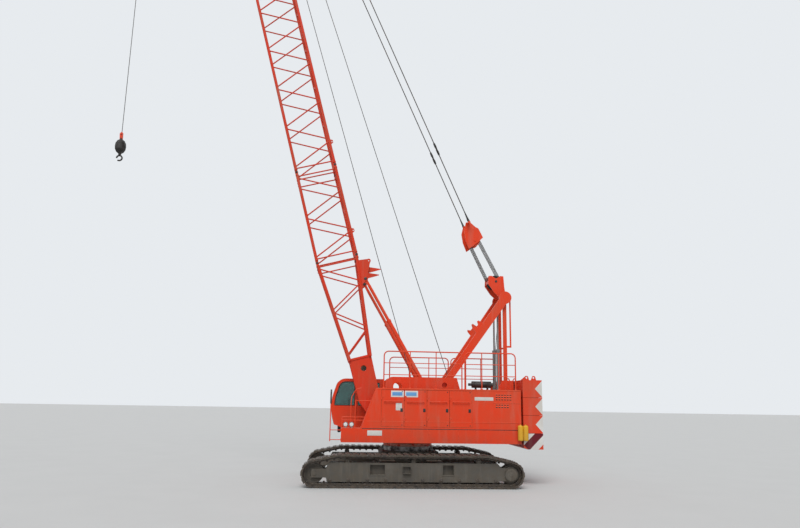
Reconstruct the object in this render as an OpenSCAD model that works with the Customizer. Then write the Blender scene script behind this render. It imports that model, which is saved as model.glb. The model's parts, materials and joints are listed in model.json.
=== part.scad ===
// Crawler crane with a lattice boom. Millimetres, +X forward, +Y to its left, +Z up.
// The origin is on the ground, under the slewing axis.

/* [Tracks] */
// Half the distance between the idler and the drive wheel
tumbler_x = 3050; // [2600:10:3600]
// Outer face of each track from the middle plane
track_out_y = 2350; // [2200:10:2700]
// Width of a track shoe
shoe_w = 760; // [600:10:900]
// Height of the upper run above the ground
track_h = 1005; // [960:5:1100]
// Outer radius of the belt round the end wheels
end_r = 420; // [400:5:450]
// Distance from the middle at which the upper run starts to fall
knee_x = 2300; // [2100:10:2450]
// Number of shoes in a track
shoe_n = 64; // [56:1:72]
// Thickness of a shoe's pad
shoe_t = 48; // [35:1:60]
// Depth of the links behind the pads
link_t = 82; // [70:1:90]
// Width of the links behind the pads
link_w = 420; // [360:10:480]
// Height of the drive lugs on the inside of the belt
lug_h = 48; // [30:1:60]
// Width of the drive lugs
lug_w = 90; // [60:5:120]

/* [Side frames] */
// Width of a side frame over its side plates
frame_w = 480; // [440:10:520]
// Height of a side frame's top above the ground
frame_top = 745; // [720:5:770]
// Height of a side frame's lower edge above the ground
frame_low = 180; // [170:5:200]
// Thickness of the frame plates
frame_plate = 30; // [20:1:40]
// Radius of a lower roller's rims
roller_r = 105; // [95:1:110]
// Number of lower rollers in a side frame
roller_n = 10; // [8:1:12]
// Width of a roller rim
rim_w = 110; // [80:5:120]

/* [Carbody and slewing ring] */
// Half the length of the carbody's middle box
carbody_x = 950; // [800:10:1200]
// Half the width of the carbody's middle box
carbody_y = 900; // [800:10:1100]
// Lower face of the carbody
carbody_low = 470; // [440:10:520]
// Upper face of the carbody
carbody_top = 1000; // [960:5:1020]
// Distance of each cross axle from the middle
axle_x = 760; // [600:10:1000]
// Half the length of a cross axle's box
axle_half = 240; // [180:10:300]
// Outer radius of the slewing ring
slew_r = 860; // [760:10:900]

/* [Revolving frame] */
// Lower face of the revolving frame
bed_low = 1310; // [1290:5:1360]
// Upper face of the deck
deck_z = 1750; // [1700:10:1800]
// Front edge of the deck
deck_front = 2280; // [2200:10:2400]
// Rear end of the frame and of the machinery houses
bed_rear = -3580; // [-3700:10:-3500]
// Half the width over the houses
body_y = 1600; // [1560:10:1700]
// Middle of each main beam from the middle plane
beam_y = 620; // [600:5:640]
// Thickness of a main beam
beam_t = 60; // [40:5:80]
// Upper face of the main beams
beam_top = 1900; // [1850:10:1950]

/* [Houses] */
// Upper face of the machinery houses
house_top = 3030; // [2900:10:3150]
// Inner wall of each machinery house from the middle plane
house_in = 770; // [750:5:800]
// Thickness of the house walls and doors
wall_t = 40; // [30:5:60]
// Front lower corner of the left house
left_front_low = 1650; // [1500:10:1750]
// Front upper corner of the left house
left_front_top = 1180; // [1000:10:1300]
// Front wall of the right house, behind the cab
right_front = 620; // [500:10:700]
// Width of one house door
door_w = 742; // [700:1:760]
// Front edge of the foremost left door
door_x0 = 1010; // [900:10:1050]
// Gap round each door
door_gap = 8; // [6:1:12]

/* [Counterweight] */
// Front face of the counterweight
weight_front = -3650; // [-3760:10:-3620]
// Rear face of the counterweight
weight_rear = -4295; // [-4600:5:-4200]
// Upper face of the top slab
weight_top = 3370; // [3200:10:3500]
// Height of an upper slab
slab_h = 565; // [500:5:600]
// Gap between two slabs
slab_gap = 8; // [4:1:20]
// Lower face of the base slab
weight_low = 1150; // [1100:10:1250]

/* [Boom] */
// Boom foot pin, forward of the slewing axis
foot_x = 1200; // [1100:10:1300]
// Height of the boom foot pin
foot_z = 2100; // [2050:10:2200]
// Angle of the boom above the ground
boom_a = 75.2; // [60:0.1:80]
// Distance from the foot pin to the head sheaves' axle
boom_l = 35600; // [30000:100:36000]
// Distance between chord centres, seen from the side
chord_d = 1400; // [1300:10:1500]
// Distance between chord centres, seen from the front
chord_w = 1240; // [1200:10:1260]
// Radius of a chord tube
chord_r = 51; // [45:1:57]
// Radius of a lacing tube
lace_r = 24; // [20:1:30]
// Length of the base section
base_l = 5550; // [5300:10:5800]
// Length of the short insert
short_l = 3400; // [3200:10:3600]
// Length of each long insert
long_l = 9000; // [8900:10:9200]
// Pitch of the lacing
lace_pitch = 1620; // [1500:10:1700]
// Radius of the head sheaves
head_sheave_r = 300; // [260:5:340]

/* [A-frame and stays] */
// Head pin of the A-frame, from the slewing axis
mast_x = -3360; // [-3450:10:-3250]
// Height of the A-frame's head pin
mast_z = 6270; // [6000:10:6500]
// Middle of each A-frame leg from the middle plane
mast_y = 535; // [525:1:538]
// Foot of the front legs, from the slewing axis
mast_foot_x = -380; // [-500:10:-300]
// Bridle's distance along the boom from the foot pin
bridle_l = 5830; // [5500:10:6200]
// Bridle's distance behind the boom
bridle_d = 4950; // [4700:10:5200]
// Radius of a pendant stay
stay_r = 18; // [14:1:24]

/* [Hook] */
// Height of the ball's middle above the ground
ball_z = 11500; // [9000:100:14000]
// Radius of the ball
ball_r = 190; // [160:5:220]
// Radius of the hoist rope
rope_r = 12; // [10:1:16]

/* [Cab] */
// Inner side of the cab from the middle plane
cab_in = 800; // [780:5:830]
// Outer side of the cab from the middle plane
cab_out = 1700; // [1640:10:1760]
// Thickness of the cab's walls
cab_wall = 45; // [35:5:60]

/* [Hidden] */
$fn = 48;

red = [0.86, 0.22, 0.12];
boom_red = [0.72, 0.17, 0.12];
khaki = [0.40, 0.37, 0.31];
steel = [0.30, 0.29, 0.28];
dark = [0.12, 0.12, 0.12];
seat_gap = 0.3;
turn_gap = 0.5;
run_gap = 6;
groove = 30;

// Shared shapes

module bar(a, b, r, $fn = 32) {
    d = b - a;
    l = norm(d);
    translate(a) rotate([0, acos(d[2] / l), atan2(d[1], d[0])]) cylinder(h = l, r = r);
}

// A plate whose outline is in X and Z, from y0 to y1
module plate_xz(points, y0, y1) {
    translate([0, y1, 0]) rotate([90, 0, 0]) linear_extrude(y1 - y0) polygon(points);
}

module disc_y(x, z, y0, y1, r) {
    translate([x, y1, z]) rotate([90, 0, 0]) cylinder(h = y1 - y0, r = r);
}

module block(x0, x1, y0, y1, z0, z1) {
    translate([x0, y0, z0]) cube([x1 - x0, y1 - y0, z1 - z0]);
}

// Points of an arc about c from the angle a0 to a1
function arc(c, r, a0, a1, n = 8) = [for (i = [0:n]) let (a = a0 + (a1 - a0) * i / n) c + r * [cos(a), sin(a)]];

// A quarter of a bent tube in X and Z, from +X up to +Z about c
module bend(c, y, r, tube_r) {
    translate([c[0], y, c[1]]) rotate([90, 0, 0]) rotate_extrude(angle = 90) translate([r, 0]) circle(r = tube_r);
}

// A sheave of rim width w with a groove for a rope, and a web thinner than its rim
module sheave(x, y, z, r, w) {
    translate([x, y, z]) rotate([90, 0, 0]) rotate_extrude() polygon([[0, -w / 2], [r * 0.3, -w / 2],
        [r * 0.38, -w / 5], [r * 0.74, -w / 5], [r * 0.8, -w / 2], [r, -w / 2], [r - groove, -rope_r - 2],
        [r - groove, rope_r + 2], [r, w / 2], [r * 0.8, w / 2], [r * 0.74, w / 5], [r * 0.38, w / 5],
        [r * 0.3, w / 2], [0, w / 2]]);
}

// Copies its children to both sides of the middle plane
module both_sides() {
    children();
    mirror([0, 1, 0]) children();
}

// Tracks: the belt's base line runs between the pads and the links

track_y = track_out_y - shoe_w / 2;
base_r = end_r - shoe_t;
base_top = track_h - shoe_t;
knee_d = norm([tumbler_x - knee_x, base_top - end_r]);
wrap_a = 180 - atan((base_top - end_r) / (tumbler_x - knee_x)) - acos(base_r / knee_d);
arc_l = base_r * (wrap_a + 90) * PI / 180;
slope_l = sqrt(knee_d * knee_d - base_r * base_r);
stops = [0, 2 * tumbler_x, arc_l, slope_l, 2 * knee_x, slope_l, arc_l];
function stop(k) = k == 0 ? 0 : stops[k] + stop(k - 1);
belt_l = stop(6);
shoe_pitch = belt_l / shoe_n;

// Point and outward angle of the base line at the distance s: [x, z, angle]
function belt(s) =
    s < stop(1) ? [s - tumbler_x, end_r - base_r, -90] :
    s < stop(2) ? belt_arc(tumbler_x, (s - stop(1)) / base_r * 180 / PI - 90) :
    s < stop(3) ? belt_slope(tumbler_x, wrap_a, s - stop(2)) :
    s < stop(4) ? [knee_x - (s - stop(3)), base_top, 90] :
    s < stop(5) ? belt_slope(-tumbler_x, 180 - wrap_a, s - stop(5)) :
    belt_arc(-tumbler_x, 180 - wrap_a + (s - stop(5)) / base_r * 180 / PI);
function belt_arc(x, a) = [x + base_r * cos(a), end_r + base_r * sin(a), a];
function belt_slope(x, a, t) = [x + base_r * cos(a) - t * sin(a), end_r + base_r * sin(a) + t * cos(a), a];
function off_belt(s, d) = let (b = belt(s)) [b[0] + d * cos(b[2]), b[1] + d * sin(b[2])];

arc_steps = 12;
belt_stops = concat(
    [0],
    [for (i = [0:arc_steps]) stop(1) + arc_l * i / arc_steps],
    [stop(3), stop(4)],
    [for (i = [0:arc_steps - 1]) stop(5) + arc_l * i / arc_steps]
);
function belt_ring(d) = [for (s = belt_stops) off_belt(s, d)];

// One shoe's pad and one drive lug: [share of the pitch, distance from the base line]
pad_profile = [[0.05, 0], [0.09, shoe_t], [0.64, shoe_t], [0.69, shoe_t * 0.62], [0.95, shoe_t * 0.62]];
lug_profile = [[0.68, -link_t], [0.60, -link_t - lug_h], [0.40, -link_t - lug_h], [0.32, -link_t]];
pad_outline = [for (i = [0:shoe_n - 1]) for (k = pad_profile) off_belt((i + k[0]) * shoe_pitch, k[1])];
lug_outline = [for (i = [0:shoe_n - 1]) for (k = [3:-1:0])
    off_belt((i + lug_profile[k][0]) * shoe_pitch, lug_profile[k][1])];

module ring_xz(outer, inner, w) {
    translate([0, w / 2, 0]) rotate([90, 0, 0]) linear_extrude(w) difference() {
        polygon(outer);
        polygon(inner);
    }
}

module track() {
    color(steel) translate([0, track_y, 0]) {
        ring_xz(pad_outline, belt_ring(-shoe_t / 3), shoe_w);
        ring_xz(belt_ring(-shoe_t / 6), belt_ring(-link_t), link_w);
        ring_xz(belt_ring(-link_t + 10), lug_outline, lug_w);
    }
}

// Side frame: a box with a tunnel for the rollers below

tunnel_top = end_r - base_r + link_t + 2 * roller_r + 15;
wheel_r = (base_r - link_t) * cos((wrap_a + 90) / arc_steps / 2) - seat_gap;
window_x = [1120, -1080];
window_w = [460, 340];
window_low = 390;
window_high = 690;
window_depth = 150;
yoke_low = 300;
yoke_high = 560;
frame_x = tumbler_x - wheel_r - 60;
side_profile = [
    [frame_x - 60, frame_low], [frame_x, yoke_low], [tumbler_x + 90, yoke_low], [tumbler_x + 90, yoke_high],
    [frame_x, yoke_high], [frame_x - 120, frame_top], [-frame_x + 60, frame_top], [-frame_x - 60, yoke_high + 60],
    [-frame_x - 60, yoke_low], [-frame_x + 60, frame_low]
];

module side_frame() {
    color(khaki) translate([0, track_y, 0]) difference() {
        plate_xz(side_profile, -frame_w / 2, frame_w / 2);
        block(-frame_x - 1, frame_x + 60, -frame_w / 2 + frame_plate, frame_w / 2 - frame_plate, 0, tunnel_top);
        block(frame_x - 40, tumbler_x + 200, -arm_in, arm_in, 0, frame_top + 1);
        for (k = [0, 1]) block(window_x[k] - window_w[k] / 2, window_x[k] + window_w[k] / 2,
            frame_w / 2 - window_depth, frame_w / 2 + 1, window_low, window_high);
        disc_y(tumbler_x, end_r, -frame_w, frame_w, axle_r + seat_gap);
        for (x = roller_xs) disc_y(x, roller_z, -frame_w, frame_w, pin_r + seat_gap);
        for (x = carrier_xs)
            block(x - carrier_r - 15, x + carrier_r + 15, -arm_in, arm_in, carrier_z - carrier_r - 10, frame_top + 1);
    }
    color(khaki) translate([0, track_y, 0]) for (s = [-1, 1]) scale([1, s, 1]) {
        difference() {
            union() {
                plate_xz([[-tumbler_x, end_r - 200], [-frame_x + 60, yoke_low - 60], [-frame_x + 60, yoke_high + 60],
                    [-tumbler_x, end_r + 200]], arm_in, frame_w / 2);
                disc_y(-tumbler_x, end_r, arm_in, frame_w / 2, hub_r + 45);
            }
            disc_y(-tumbler_x, end_r, 0, frame_w, hub_r + seat_gap);
        }
        for (x = carrier_xs) difference() {
            block(x - 50, x + 50, arm_in + 6, arm_in + 36, frame_top - 1, carrier_z + 42);
            disc_y(x, carrier_z, 0, frame_w, carrier_pin_r + seat_gap);
        }
    }
    // step on the outer side plate: two cheeks and two treads
    color(khaki) translate([0, track_y + frame_w / 2, 0]) {
        for (x = [step_x, step_x + step_w - 10]) block(x, x + 10, -1, step_out, step_low, step_high);
        for (z = [step_low, step_high - 12]) block(step_x, step_x + step_w, -1, step_out, z, z + 12);
    }
    // a rim round each window
    color(khaki) translate([0, track_y, 0]) {
        for (k = [0, 1]) difference() {
            block(window_x[k] - window_w[k] / 2 - 25, window_x[k] + window_w[k] / 2 + 25,
                frame_w / 2 - 1, frame_w / 2 + 12, window_low - 25, window_high + 25);
            block(window_x[k] - window_w[k] / 2, window_x[k] + window_w[k] / 2,
                0, frame_w, window_low, window_high);
        }
    }
}

step_x = 90;
step_w = 250;
step_out = 100;
step_low = 440;
step_high = 660;

arm_in = frame_w / 2 - 60;
hub_r = 190;
axle_r = 55;
pin_r = 35;
roller_z = end_r - base_r + link_t + roller_r + seat_gap;
roller_span = 2 * (frame_x - 130);
roller_xs = [for (i = [0:roller_n - 1]) -roller_span / 2 + roller_span * i / (roller_n - 1)];
carrier_r = 85;
carrier_pin_r = 30;
carrier_z = base_top - link_t - carrier_r - seat_gap;
carrier_xs = [knee_x - 250, 0, -knee_x + 250];

module rollers() {
    color(steel) translate([0, track_y, 0]) {
        for (x = roller_xs) {
            disc_y(x, roller_z, -frame_w / 2 - 10, frame_w / 2 + 10, pin_r);
            for (y = [-lug_w / 2 - 20 - rim_w, lug_w / 2 + 20]) disc_y(x, roller_z, y, y + rim_w, roller_r);
        }
        for (x = carrier_xs) {
            disc_y(x, carrier_z, -arm_in - 40, arm_in + 40, carrier_pin_r);
            for (y = [-lug_w / 2 - 20 - rim_w, lug_w / 2 + 20]) disc_y(x, carrier_z, y, y + rim_w, carrier_r);
        }
    }
}

idler_w = 300;

module idler() {
    color(khaki) translate([0, track_y, 0]) {
        for (y = [-idler_w / 2, lug_w / 2 + 15]) disc_y(tumbler_x, end_r, y, y + (idler_w - lug_w) / 2 - 15, wheel_r);
        disc_y(tumbler_x, end_r, -idler_w / 2, idler_w / 2, wheel_r - lug_h - 15);
        disc_y(tumbler_x, end_r, -frame_w / 2 - 20, frame_w / 2 + 20, axle_r);
    }
}

module drive() {
    color(khaki) translate([0, track_y, 0]) {
        for (y = [-idler_w / 2, lug_w / 2 + 15]) disc_y(-tumbler_x, end_r, y, y + (idler_w - lug_w) / 2 - 15, wheel_r);
        disc_y(-tumbler_x, end_r, -idler_w / 2, idler_w / 2, wheel_r - lug_h - 15);
        disc_y(-tumbler_x, end_r, -frame_w / 2 - 110, frame_w / 2 + 60, hub_r);
    }
}

tow_r = 32;
tow_t = 60;
tow_out_r = 90;
tow_z = carbody_low + 95;
module carbody() {
    arm_y = track_y - frame_w / 2 - seat_gap;
    color(khaki) {
        block(-carbody_x, carbody_x, -carbody_y, carbody_y, carbody_low, carbody_top);
        for (x = [-axle_x, axle_x])
            block(x - axle_half, x + axle_half, -arm_y, arm_y, carbody_low + 20, frame_top);
        translate([carbody_x + 140, 0, tow_z]) difference() {
            union() {
                cylinder(h = tow_t, r = tow_out_r);
                block(-100, 0, -tow_out_r, tow_out_r, 0, tow_t);
            }
            translate([0, 0, -1]) cylinder(h = tow_t + 2, r = tow_r);
        }
        block(carbody_x - 1, carbody_x + 50, -200, 200, carbody_low + 20, frame_top);
    }
}

winch_y = 700;
cab_low = deck_z - 300;
ring_top = bed_low - 160;
module slew_ring() {
    color(steel) difference() {
        translate([0, 0, carbody_top + seat_gap]) cylinder(h = ring_top - carbody_top - seat_gap, r = slew_r);
        translate([0, 0, carbody_top - 1]) cylinder(h = ring_top, r = slew_r - 190);
    }
}

// Revolving frame

bracket_in = beam_y - beam_t / 2;
bracket_out = beam_y + beam_t / 2;
foot_pin_r = 60;
leg_w = 300;
leg_t = 100;
leg_foot_r = 100;
leg_pin_r = 45;
mast_foot_z = beam_top + leg_foot_r + 10;
rear_leg_y = mast_y - 150;
rear_leg_t = 60;
bed_top = bed_low + 45;
// Cross plates between the main beams: [front face, upper edge]
cross_plates = [[foot_x + 540, bed_low + 300], [foot_x - 700, beam_top - 60], [-1400, beam_top - 60],
    [-2500, beam_top - 60], [bed_rear + 20, beam_top - 60]];

// Seams between the skirt's plates
skirt_seams = [1795, 1475, 590, 30, -540, -970, -1500, -2070, -3000];
module skirt_cuts() {
    for (x = skirt_seams) block(x - 6, x + 6, body_y - 8, body_y + 1, bed_low - 1, deck_z + 1);
}

module revolving_frame() {
    color(red) {
        translate([0, 0, ring_top + turn_gap]) cylinder(h = bed_low - ring_top - turn_gap + 10, r = slew_r - 30);
        block(bed_rear, deck_front - 30, -body_y + 60, body_y - 60, bed_low, bed_top);
        both_sides() {
            difference() {
                plate_xz([[bed_rear, bed_low + 40], [foot_x + 600, bed_low + 40], [foot_x + 600, bed_low + 300],
                    [foot_x + 170, foot_z - 120], [foot_x + 110, foot_z + 110], [foot_x - 110, foot_z + 110],
                    [foot_x - 300, beam_top], [bed_rear, beam_top]], bracket_in, bracket_out);
                disc_y(foot_x, foot_z, 0, body_y, foot_pin_r + 0.1);
            }
            // top flange under the winch frame
            block(bed_rear, foot_x - 300, bracket_out - 1, winch_y + 20, beam_top - 30, beam_top);
            // lugs and pin of the A-frame's front leg
            for (y = [mast_y - leg_t / 2 - 40, bracket_out - 30])
                plate_xz([[mast_foot_x - 130, beam_top - 120], [mast_foot_x + 130, beam_top - 120], [mast_foot_x + 80, mast_foot_z + 80],
                    [mast_foot_x - 80, mast_foot_z + 80]], y, y + 30);
            block(mast_foot_x - 130, mast_foot_x + 130, mast_y - leg_t / 2 - 40, bracket_in + 1, beam_top - 120, beam_top - 8);
            disc_y(mast_foot_x, mast_foot_z, mast_y - leg_t / 2 - 60, bracket_out + 20, leg_pin_r - seat_gap);
            // seat of the A-frame's rear leg
            block(mast_x - 130, mast_x + 130, rear_leg_y - 40, bracket_in + 1, beam_top - 160, beam_top);
            // half of the shaft under the A-frame's cylinders
            disc_y(ram_x, ram_low, 0, bracket_in + 1, ram_low_r - seat_gap);
            // stubs which hold the counterweight
            block(weight_front + seat_gap, bed_rear + 1, 480, 700, bed_low + 100, beam_top - 40);
            for (x = [200, -1200, -2500]) block(x, x + 30, bracket_out - 1, body_y - 25, bed_top - 1, deck_z - 4);
            difference() {
                block(bed_rear, right_front + 60, body_y - 30, body_y, bed_low, deck_z);
                skirt_cuts();
            }
        }
        for (k = cross_plates) block(k[0], k[0] + 40, -bracket_in - 1, bracket_in + 1, bed_top - 1, k[1]);
        // left front deck, over the bed plate
        difference() {
            block(right_front + 60, deck_front, body_y - 30, body_y, bed_low, deck_z);
            skirt_cuts();
        }
        block(left_front_low + 10, deck_front, bracket_out + 20, body_y - 29, deck_z - 8, deck_z);
        block(foot_x + 540, foot_x + 570, bracket_out - 1, body_y - 25, bed_top - 1, deck_z - 4);
        block(deck_front - 30, deck_front, -cab_in + 20, body_y - 10, bed_low, deck_z);
        // lower front under the cab, and the blocks which carry the cab
        block(right_front, deck_front, -body_y, -body_y + 30, bed_low, cab_low - 20);
        block(deck_front - 30, deck_front, -body_y + 10, -cab_in + 21, bed_low, cab_low - 20);
        block(foot_x + 540, foot_x + 570, -body_y + 25, -bracket_out + 1, bed_top - 1, cab_low - 20);
        for (x = [860, 2040]) for (y = [-cab_out + 120, -cab_in - 220])
            block(x, x + 100, y, y + 100, bed_top - 1, cab_low - seat_gap);
    }
}

// Machinery houses

door_low = deck_z + 60;
door_high = house_top - 50;
function left_door_x(i) = door_x0 - i * door_w;
louvre_x1 = -2740;

module house_box(outline, y0, y1) {
    difference() {
        plate_xz(outline, y0, y1);
        intersection() {
            plate_xz([for (p = outline) p], y0 + wall_t, y1 - wall_t);
            block(bed_rear + wall_t, left_front_low, y0, y1, deck_z + wall_t, house_top - wall_t);
            plate_xz([for (p = outline) [p[0] - wall_t, p[1]]], y0, y1);
        }
    }
}

// Door hinges: x is the door's hinged edge, y its outer face and z the middle of the hinge.
// The axis stands off the face, and the fixed leaf passes through the seam.
hinge_pin_r = 5;
hinge_r = 10;
hinge_l = 60;
hinge_off = 14;
hinge_edge = 4;
hinge_leaf = 66;
hinge_inset = 250;
module hinge_fixed(x, y, z, reach) {
    translate([x - hinge_edge, y + hinge_off, z - hinge_l]) cylinder(h = hinge_l, r = hinge_r);
    translate([x - hinge_edge, y + hinge_off, z - hinge_l]) cylinder(h = 2 * hinge_l, r = hinge_pin_r);
    block(x + hinge_edge, x + door_gap + 1, y - reach, y + hinge_off, z - hinge_l, z);
}

module hinge_moving(x, y, z) {
    difference() {
        union() {
            translate([x - hinge_edge, y + hinge_off, z + turn_gap]) cylinder(h = hinge_l - turn_gap, r = hinge_r);
            block(x - hinge_edge - hinge_leaf, x - hinge_edge, y - 1, y + 6, z + turn_gap, z + hinge_l);
        }
        translate([x - hinge_edge, y + hinge_off, z]) cylinder(h = hinge_l + 1, r = hinge_pin_r + turn_gap);
    }
}

hinge_zs = [door_low + hinge_inset, door_high - hinge_inset];
module house_hinges(doors) {
    for (i = doors) for (z = hinge_zs)
        hinge_fixed(left_door_x(i) - door_gap, body_y, z, wall_t + run_gap + 1);
}

left_outline = [[bed_rear, deck_z + seat_gap], [left_front_low, deck_z + seat_gap],
    [left_front_top, house_top], [bed_rear, house_top]];
right_outline = [[bed_rear, deck_z + seat_gap], [right_front, deck_z + seat_gap],
    [right_front, house_top], [bed_rear, house_top]];

// Fields of louvres, below the roof: [depth of the top row, rows, columns]
louvre_fields = [[180, 3, 6], [500, 2, 5]];
louvre_w = 62;
louvre_h = 46;
louvre_pitch_x = 92;
louvre_pitch_z = 76;
module louvres() {
    for (f = louvre_fields) for (i = [0:f[1] - 1]) for (k = [0:f[2] - 1])
        translate([louvre_x1 - k * louvre_pitch_x, 0, house_top - f[0] - i * louvre_pitch_z])
            block(-louvre_w, 0, body_y - wall_t - 1, body_y + 1, 0, louvre_h);
}

// Posts behind the seams between doors, which carry the hinges
module door_posts(seams) {
    for (i = seams) block(left_door_x(i) - 30, left_door_x(i) + 30,
        body_y - wall_t - 56, body_y - wall_t - run_gap, deck_z + 1, house_top - 1);
}

module house_left() {
    color(red) difference() {
        house_box(left_outline, house_in, body_y);
        block(left_door_x(4), left_door_x(0), body_y - wall_t - 1, body_y + 1, door_low, door_high);
        louvres();
    }
    color(red) door_posts([1, 2, 3]);
    color(red) house_hinges([0, 1, 2, 3]);
}

module house_right() {
    color(red) mirror([0, 1, 0]) difference() {
        house_box(right_outline, house_in, body_y);
        block(left_door_x(4), left_door_x(2), body_y - wall_t - 1, body_y + 1, door_low, door_high);
        louvres();
    }
    color(red) mirror([0, 1, 0]) door_posts([3]);
    color(red) mirror([0, 1, 0]) house_hinges([2, 3]);
}

rail_z = deck_z + 870;
rail_r = 14;
rail_in = 70;
// A door's panel with its length of the side rail on two stand-offs
module door(i, side) {
    x1 = left_door_x(i) - door_gap;
    x0 = left_door_x(i + 1) + door_gap;
    color(red) scale([1, side, 1]) {
        block(x0, x1, body_y - wall_t, body_y, door_low + door_gap, door_high - door_gap);
        bar([x0 + rail_in, body_y + 55, rail_z], [x1 - rail_in, body_y + 55, rail_z], rail_r);
        for (x = [x0 + rail_in + 40, x1 - rail_in - 40]) bar([x, body_y - 5, rail_z], [x, body_y + 55, rail_z], rail_r - 4);
        for (z = hinge_zs) hinge_moving(x1, body_y, z);
    }
}

module engine() {
    color(dark) block(-3300, -2000, -1480, -860, deck_z + wall_t + 2 * seat_gap, deck_z + 900);
}

winch_top = 3430;
winch_front = 830;
winch_rear = -2050;
// Drums: [x, height above the beams, radius]
drums = [[-120, 700, 230], [-1450, 700, 230], [-2700, 550, 200]];
// Round openings in each side plate: [x, depth below the top, radius]
winch_holes = [[420, 330, 150], [-1180, 250, 90], [-640, 760, 120]];
tower_x0 = -3560;
tower_x1 = -3060;
tower_top = 3370;
module winch_frame() {
    color(red) {
        both_sides() {
            difference() {
                plate_xz(concat([[winch_front, beam_top + seat_gap]],
                    arc([winch_front - 250, winch_top - 250], 250, 0, 90), [[-1600, winch_top],
                    [winch_rear, beam_top + seat_gap]]), winch_y - 30, winch_y);
                for (h = winch_holes) disc_y(h[0], winch_top - h[1], 0, body_y, h[2]);
            }
            plate_xz([[drums[2][0] + 250, beam_top + seat_gap], [drums[2][0] + 100, beam_top + 660],
                [drums[2][0] - 100, beam_top + 660], [drums[2][0] - 250, beam_top + seat_gap]], winch_y - 30, winch_y);
            // bearing housings of the drums
            for (d = drums) disc_y(d[0], beam_top + d[1], winch_y - 1, winch_y + 30, 120);
            // rear plates beside the counterweight's stubs
            difference() {
                plate_xz([[tower_x0, beam_top + seat_gap], [tower_x1, beam_top + seat_gap], [tower_x1, tower_top - 220],
                    [tower_x1 - 120, tower_top], [tower_x0, tower_top]], winch_y - 30, winch_y);
                disc_y(tower_x0 + 200, tower_top - 420, 0, body_y, 110);
            }
            disc_y(stop_x, stop_z, stop_y + 38, winch_y - 29, 95);
            disc_y(stop_x, stop_z, stop_y - 45, winch_y - 29, stop_pin_r);
        }
        block(winch_front - 130, winch_front - 100, -winch_y, winch_y, beam_top + 100, winch_top - 300);
        block(tower_x0, tower_x0 + 30, -winch_y, winch_y, tower_top - 180, tower_top - 20);
    }
}

drum_l = 820;
module drum(x, z, r) {
    disc_y(x, z, -drum_l / 2, drum_l / 2, r);
    for (y = [-drum_l / 2, drum_l / 2 - 30]) disc_y(x, z, y, y + 30, r + 130);
    disc_y(x, z, -winch_y + 30 + seat_gap, winch_y - 30 - seat_gap, 60);
}

module winch_drums() {
    color(steel) {
        for (d = drums) drum(d[0], beam_top + d[1], d[2]);
    }
}

// Counterweight

base_top_z = weight_top - 3 * (slab_h + slab_gap);
lug_bore_r = 32;
lug_y = 1300;
lug_z = weight_top + 85;
// Lifting lugs: [x, length of the foot ahead of the eye]
lugs = [[weight_rear + 195, 90], [weight_rear + 435, 205]];
module lift_lugs() {
    color(red) both_sides() for (k = lugs) difference() {
        plate_xz(concat([[k[0] + k[1], weight_top - 1]], arc([k[0], lug_z], 65, 60, 180), [[k[0] - 90, weight_top - 1]]),
            lug_y - 20, lug_y + 20);
        disc_y(k[0], lug_z, 0, body_y, lug_bore_r);
    }
}

module slab(z0, z1) {
    color(red) difference() {
        block(weight_rear, weight_front, -body_y, body_y, z0, z1);
        block(weight_rear - 1, weight_rear + 200, -260, 260, z1 - 160, z1 + 1);
    }
    color(red) for (x = [weight_rear + 80, weight_front - 180]) for (y = [-body_y + 150, body_y - 350])
        block(x, x + 100, y, y + 200, z0 - slab_gap + seat_gap, z0 + 1);
}

module counterweight_base() {
    color(red) plate_xz([[weight_rear, weight_low], [weight_front - 130, weight_low], [weight_front, weight_low + 60],
        [weight_front, base_top_z], [weight_rear, base_top_z]], -body_y, body_y);
}

module counterweight_slab(i) {
    z0 = base_top_z + slab_gap + i * (slab_h + slab_gap);
    slab(z0, z0 + slab_h);
    if (i == 2) lift_lugs();
}

// A-frame

head_shaft_r = 90;
ram_x = mast_x + 230;
ram_y = 300;
ram_high = mast_z - 350;
ram_low = beam_top - 60;
ram_pin_r = 28;
ram_low_r = 40;
ram_r = 60;
ram_rod_r = 32;
ram_split = 4450;
gantry_sheave_x = mast_x + 270;
gantry_sheave_z = mast_z + 620;
gantry_sheave_r = 230;
gantry_pin_r = 40;
// Side plate of the sheave head, from the head pin
sheave_head = [[-100, -20], [-30, 400], [0, 810], [110, 820], [270, 720], [430, 820], [535, 810], [550, 520],
    [350, 230], [170, 60]];
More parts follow.
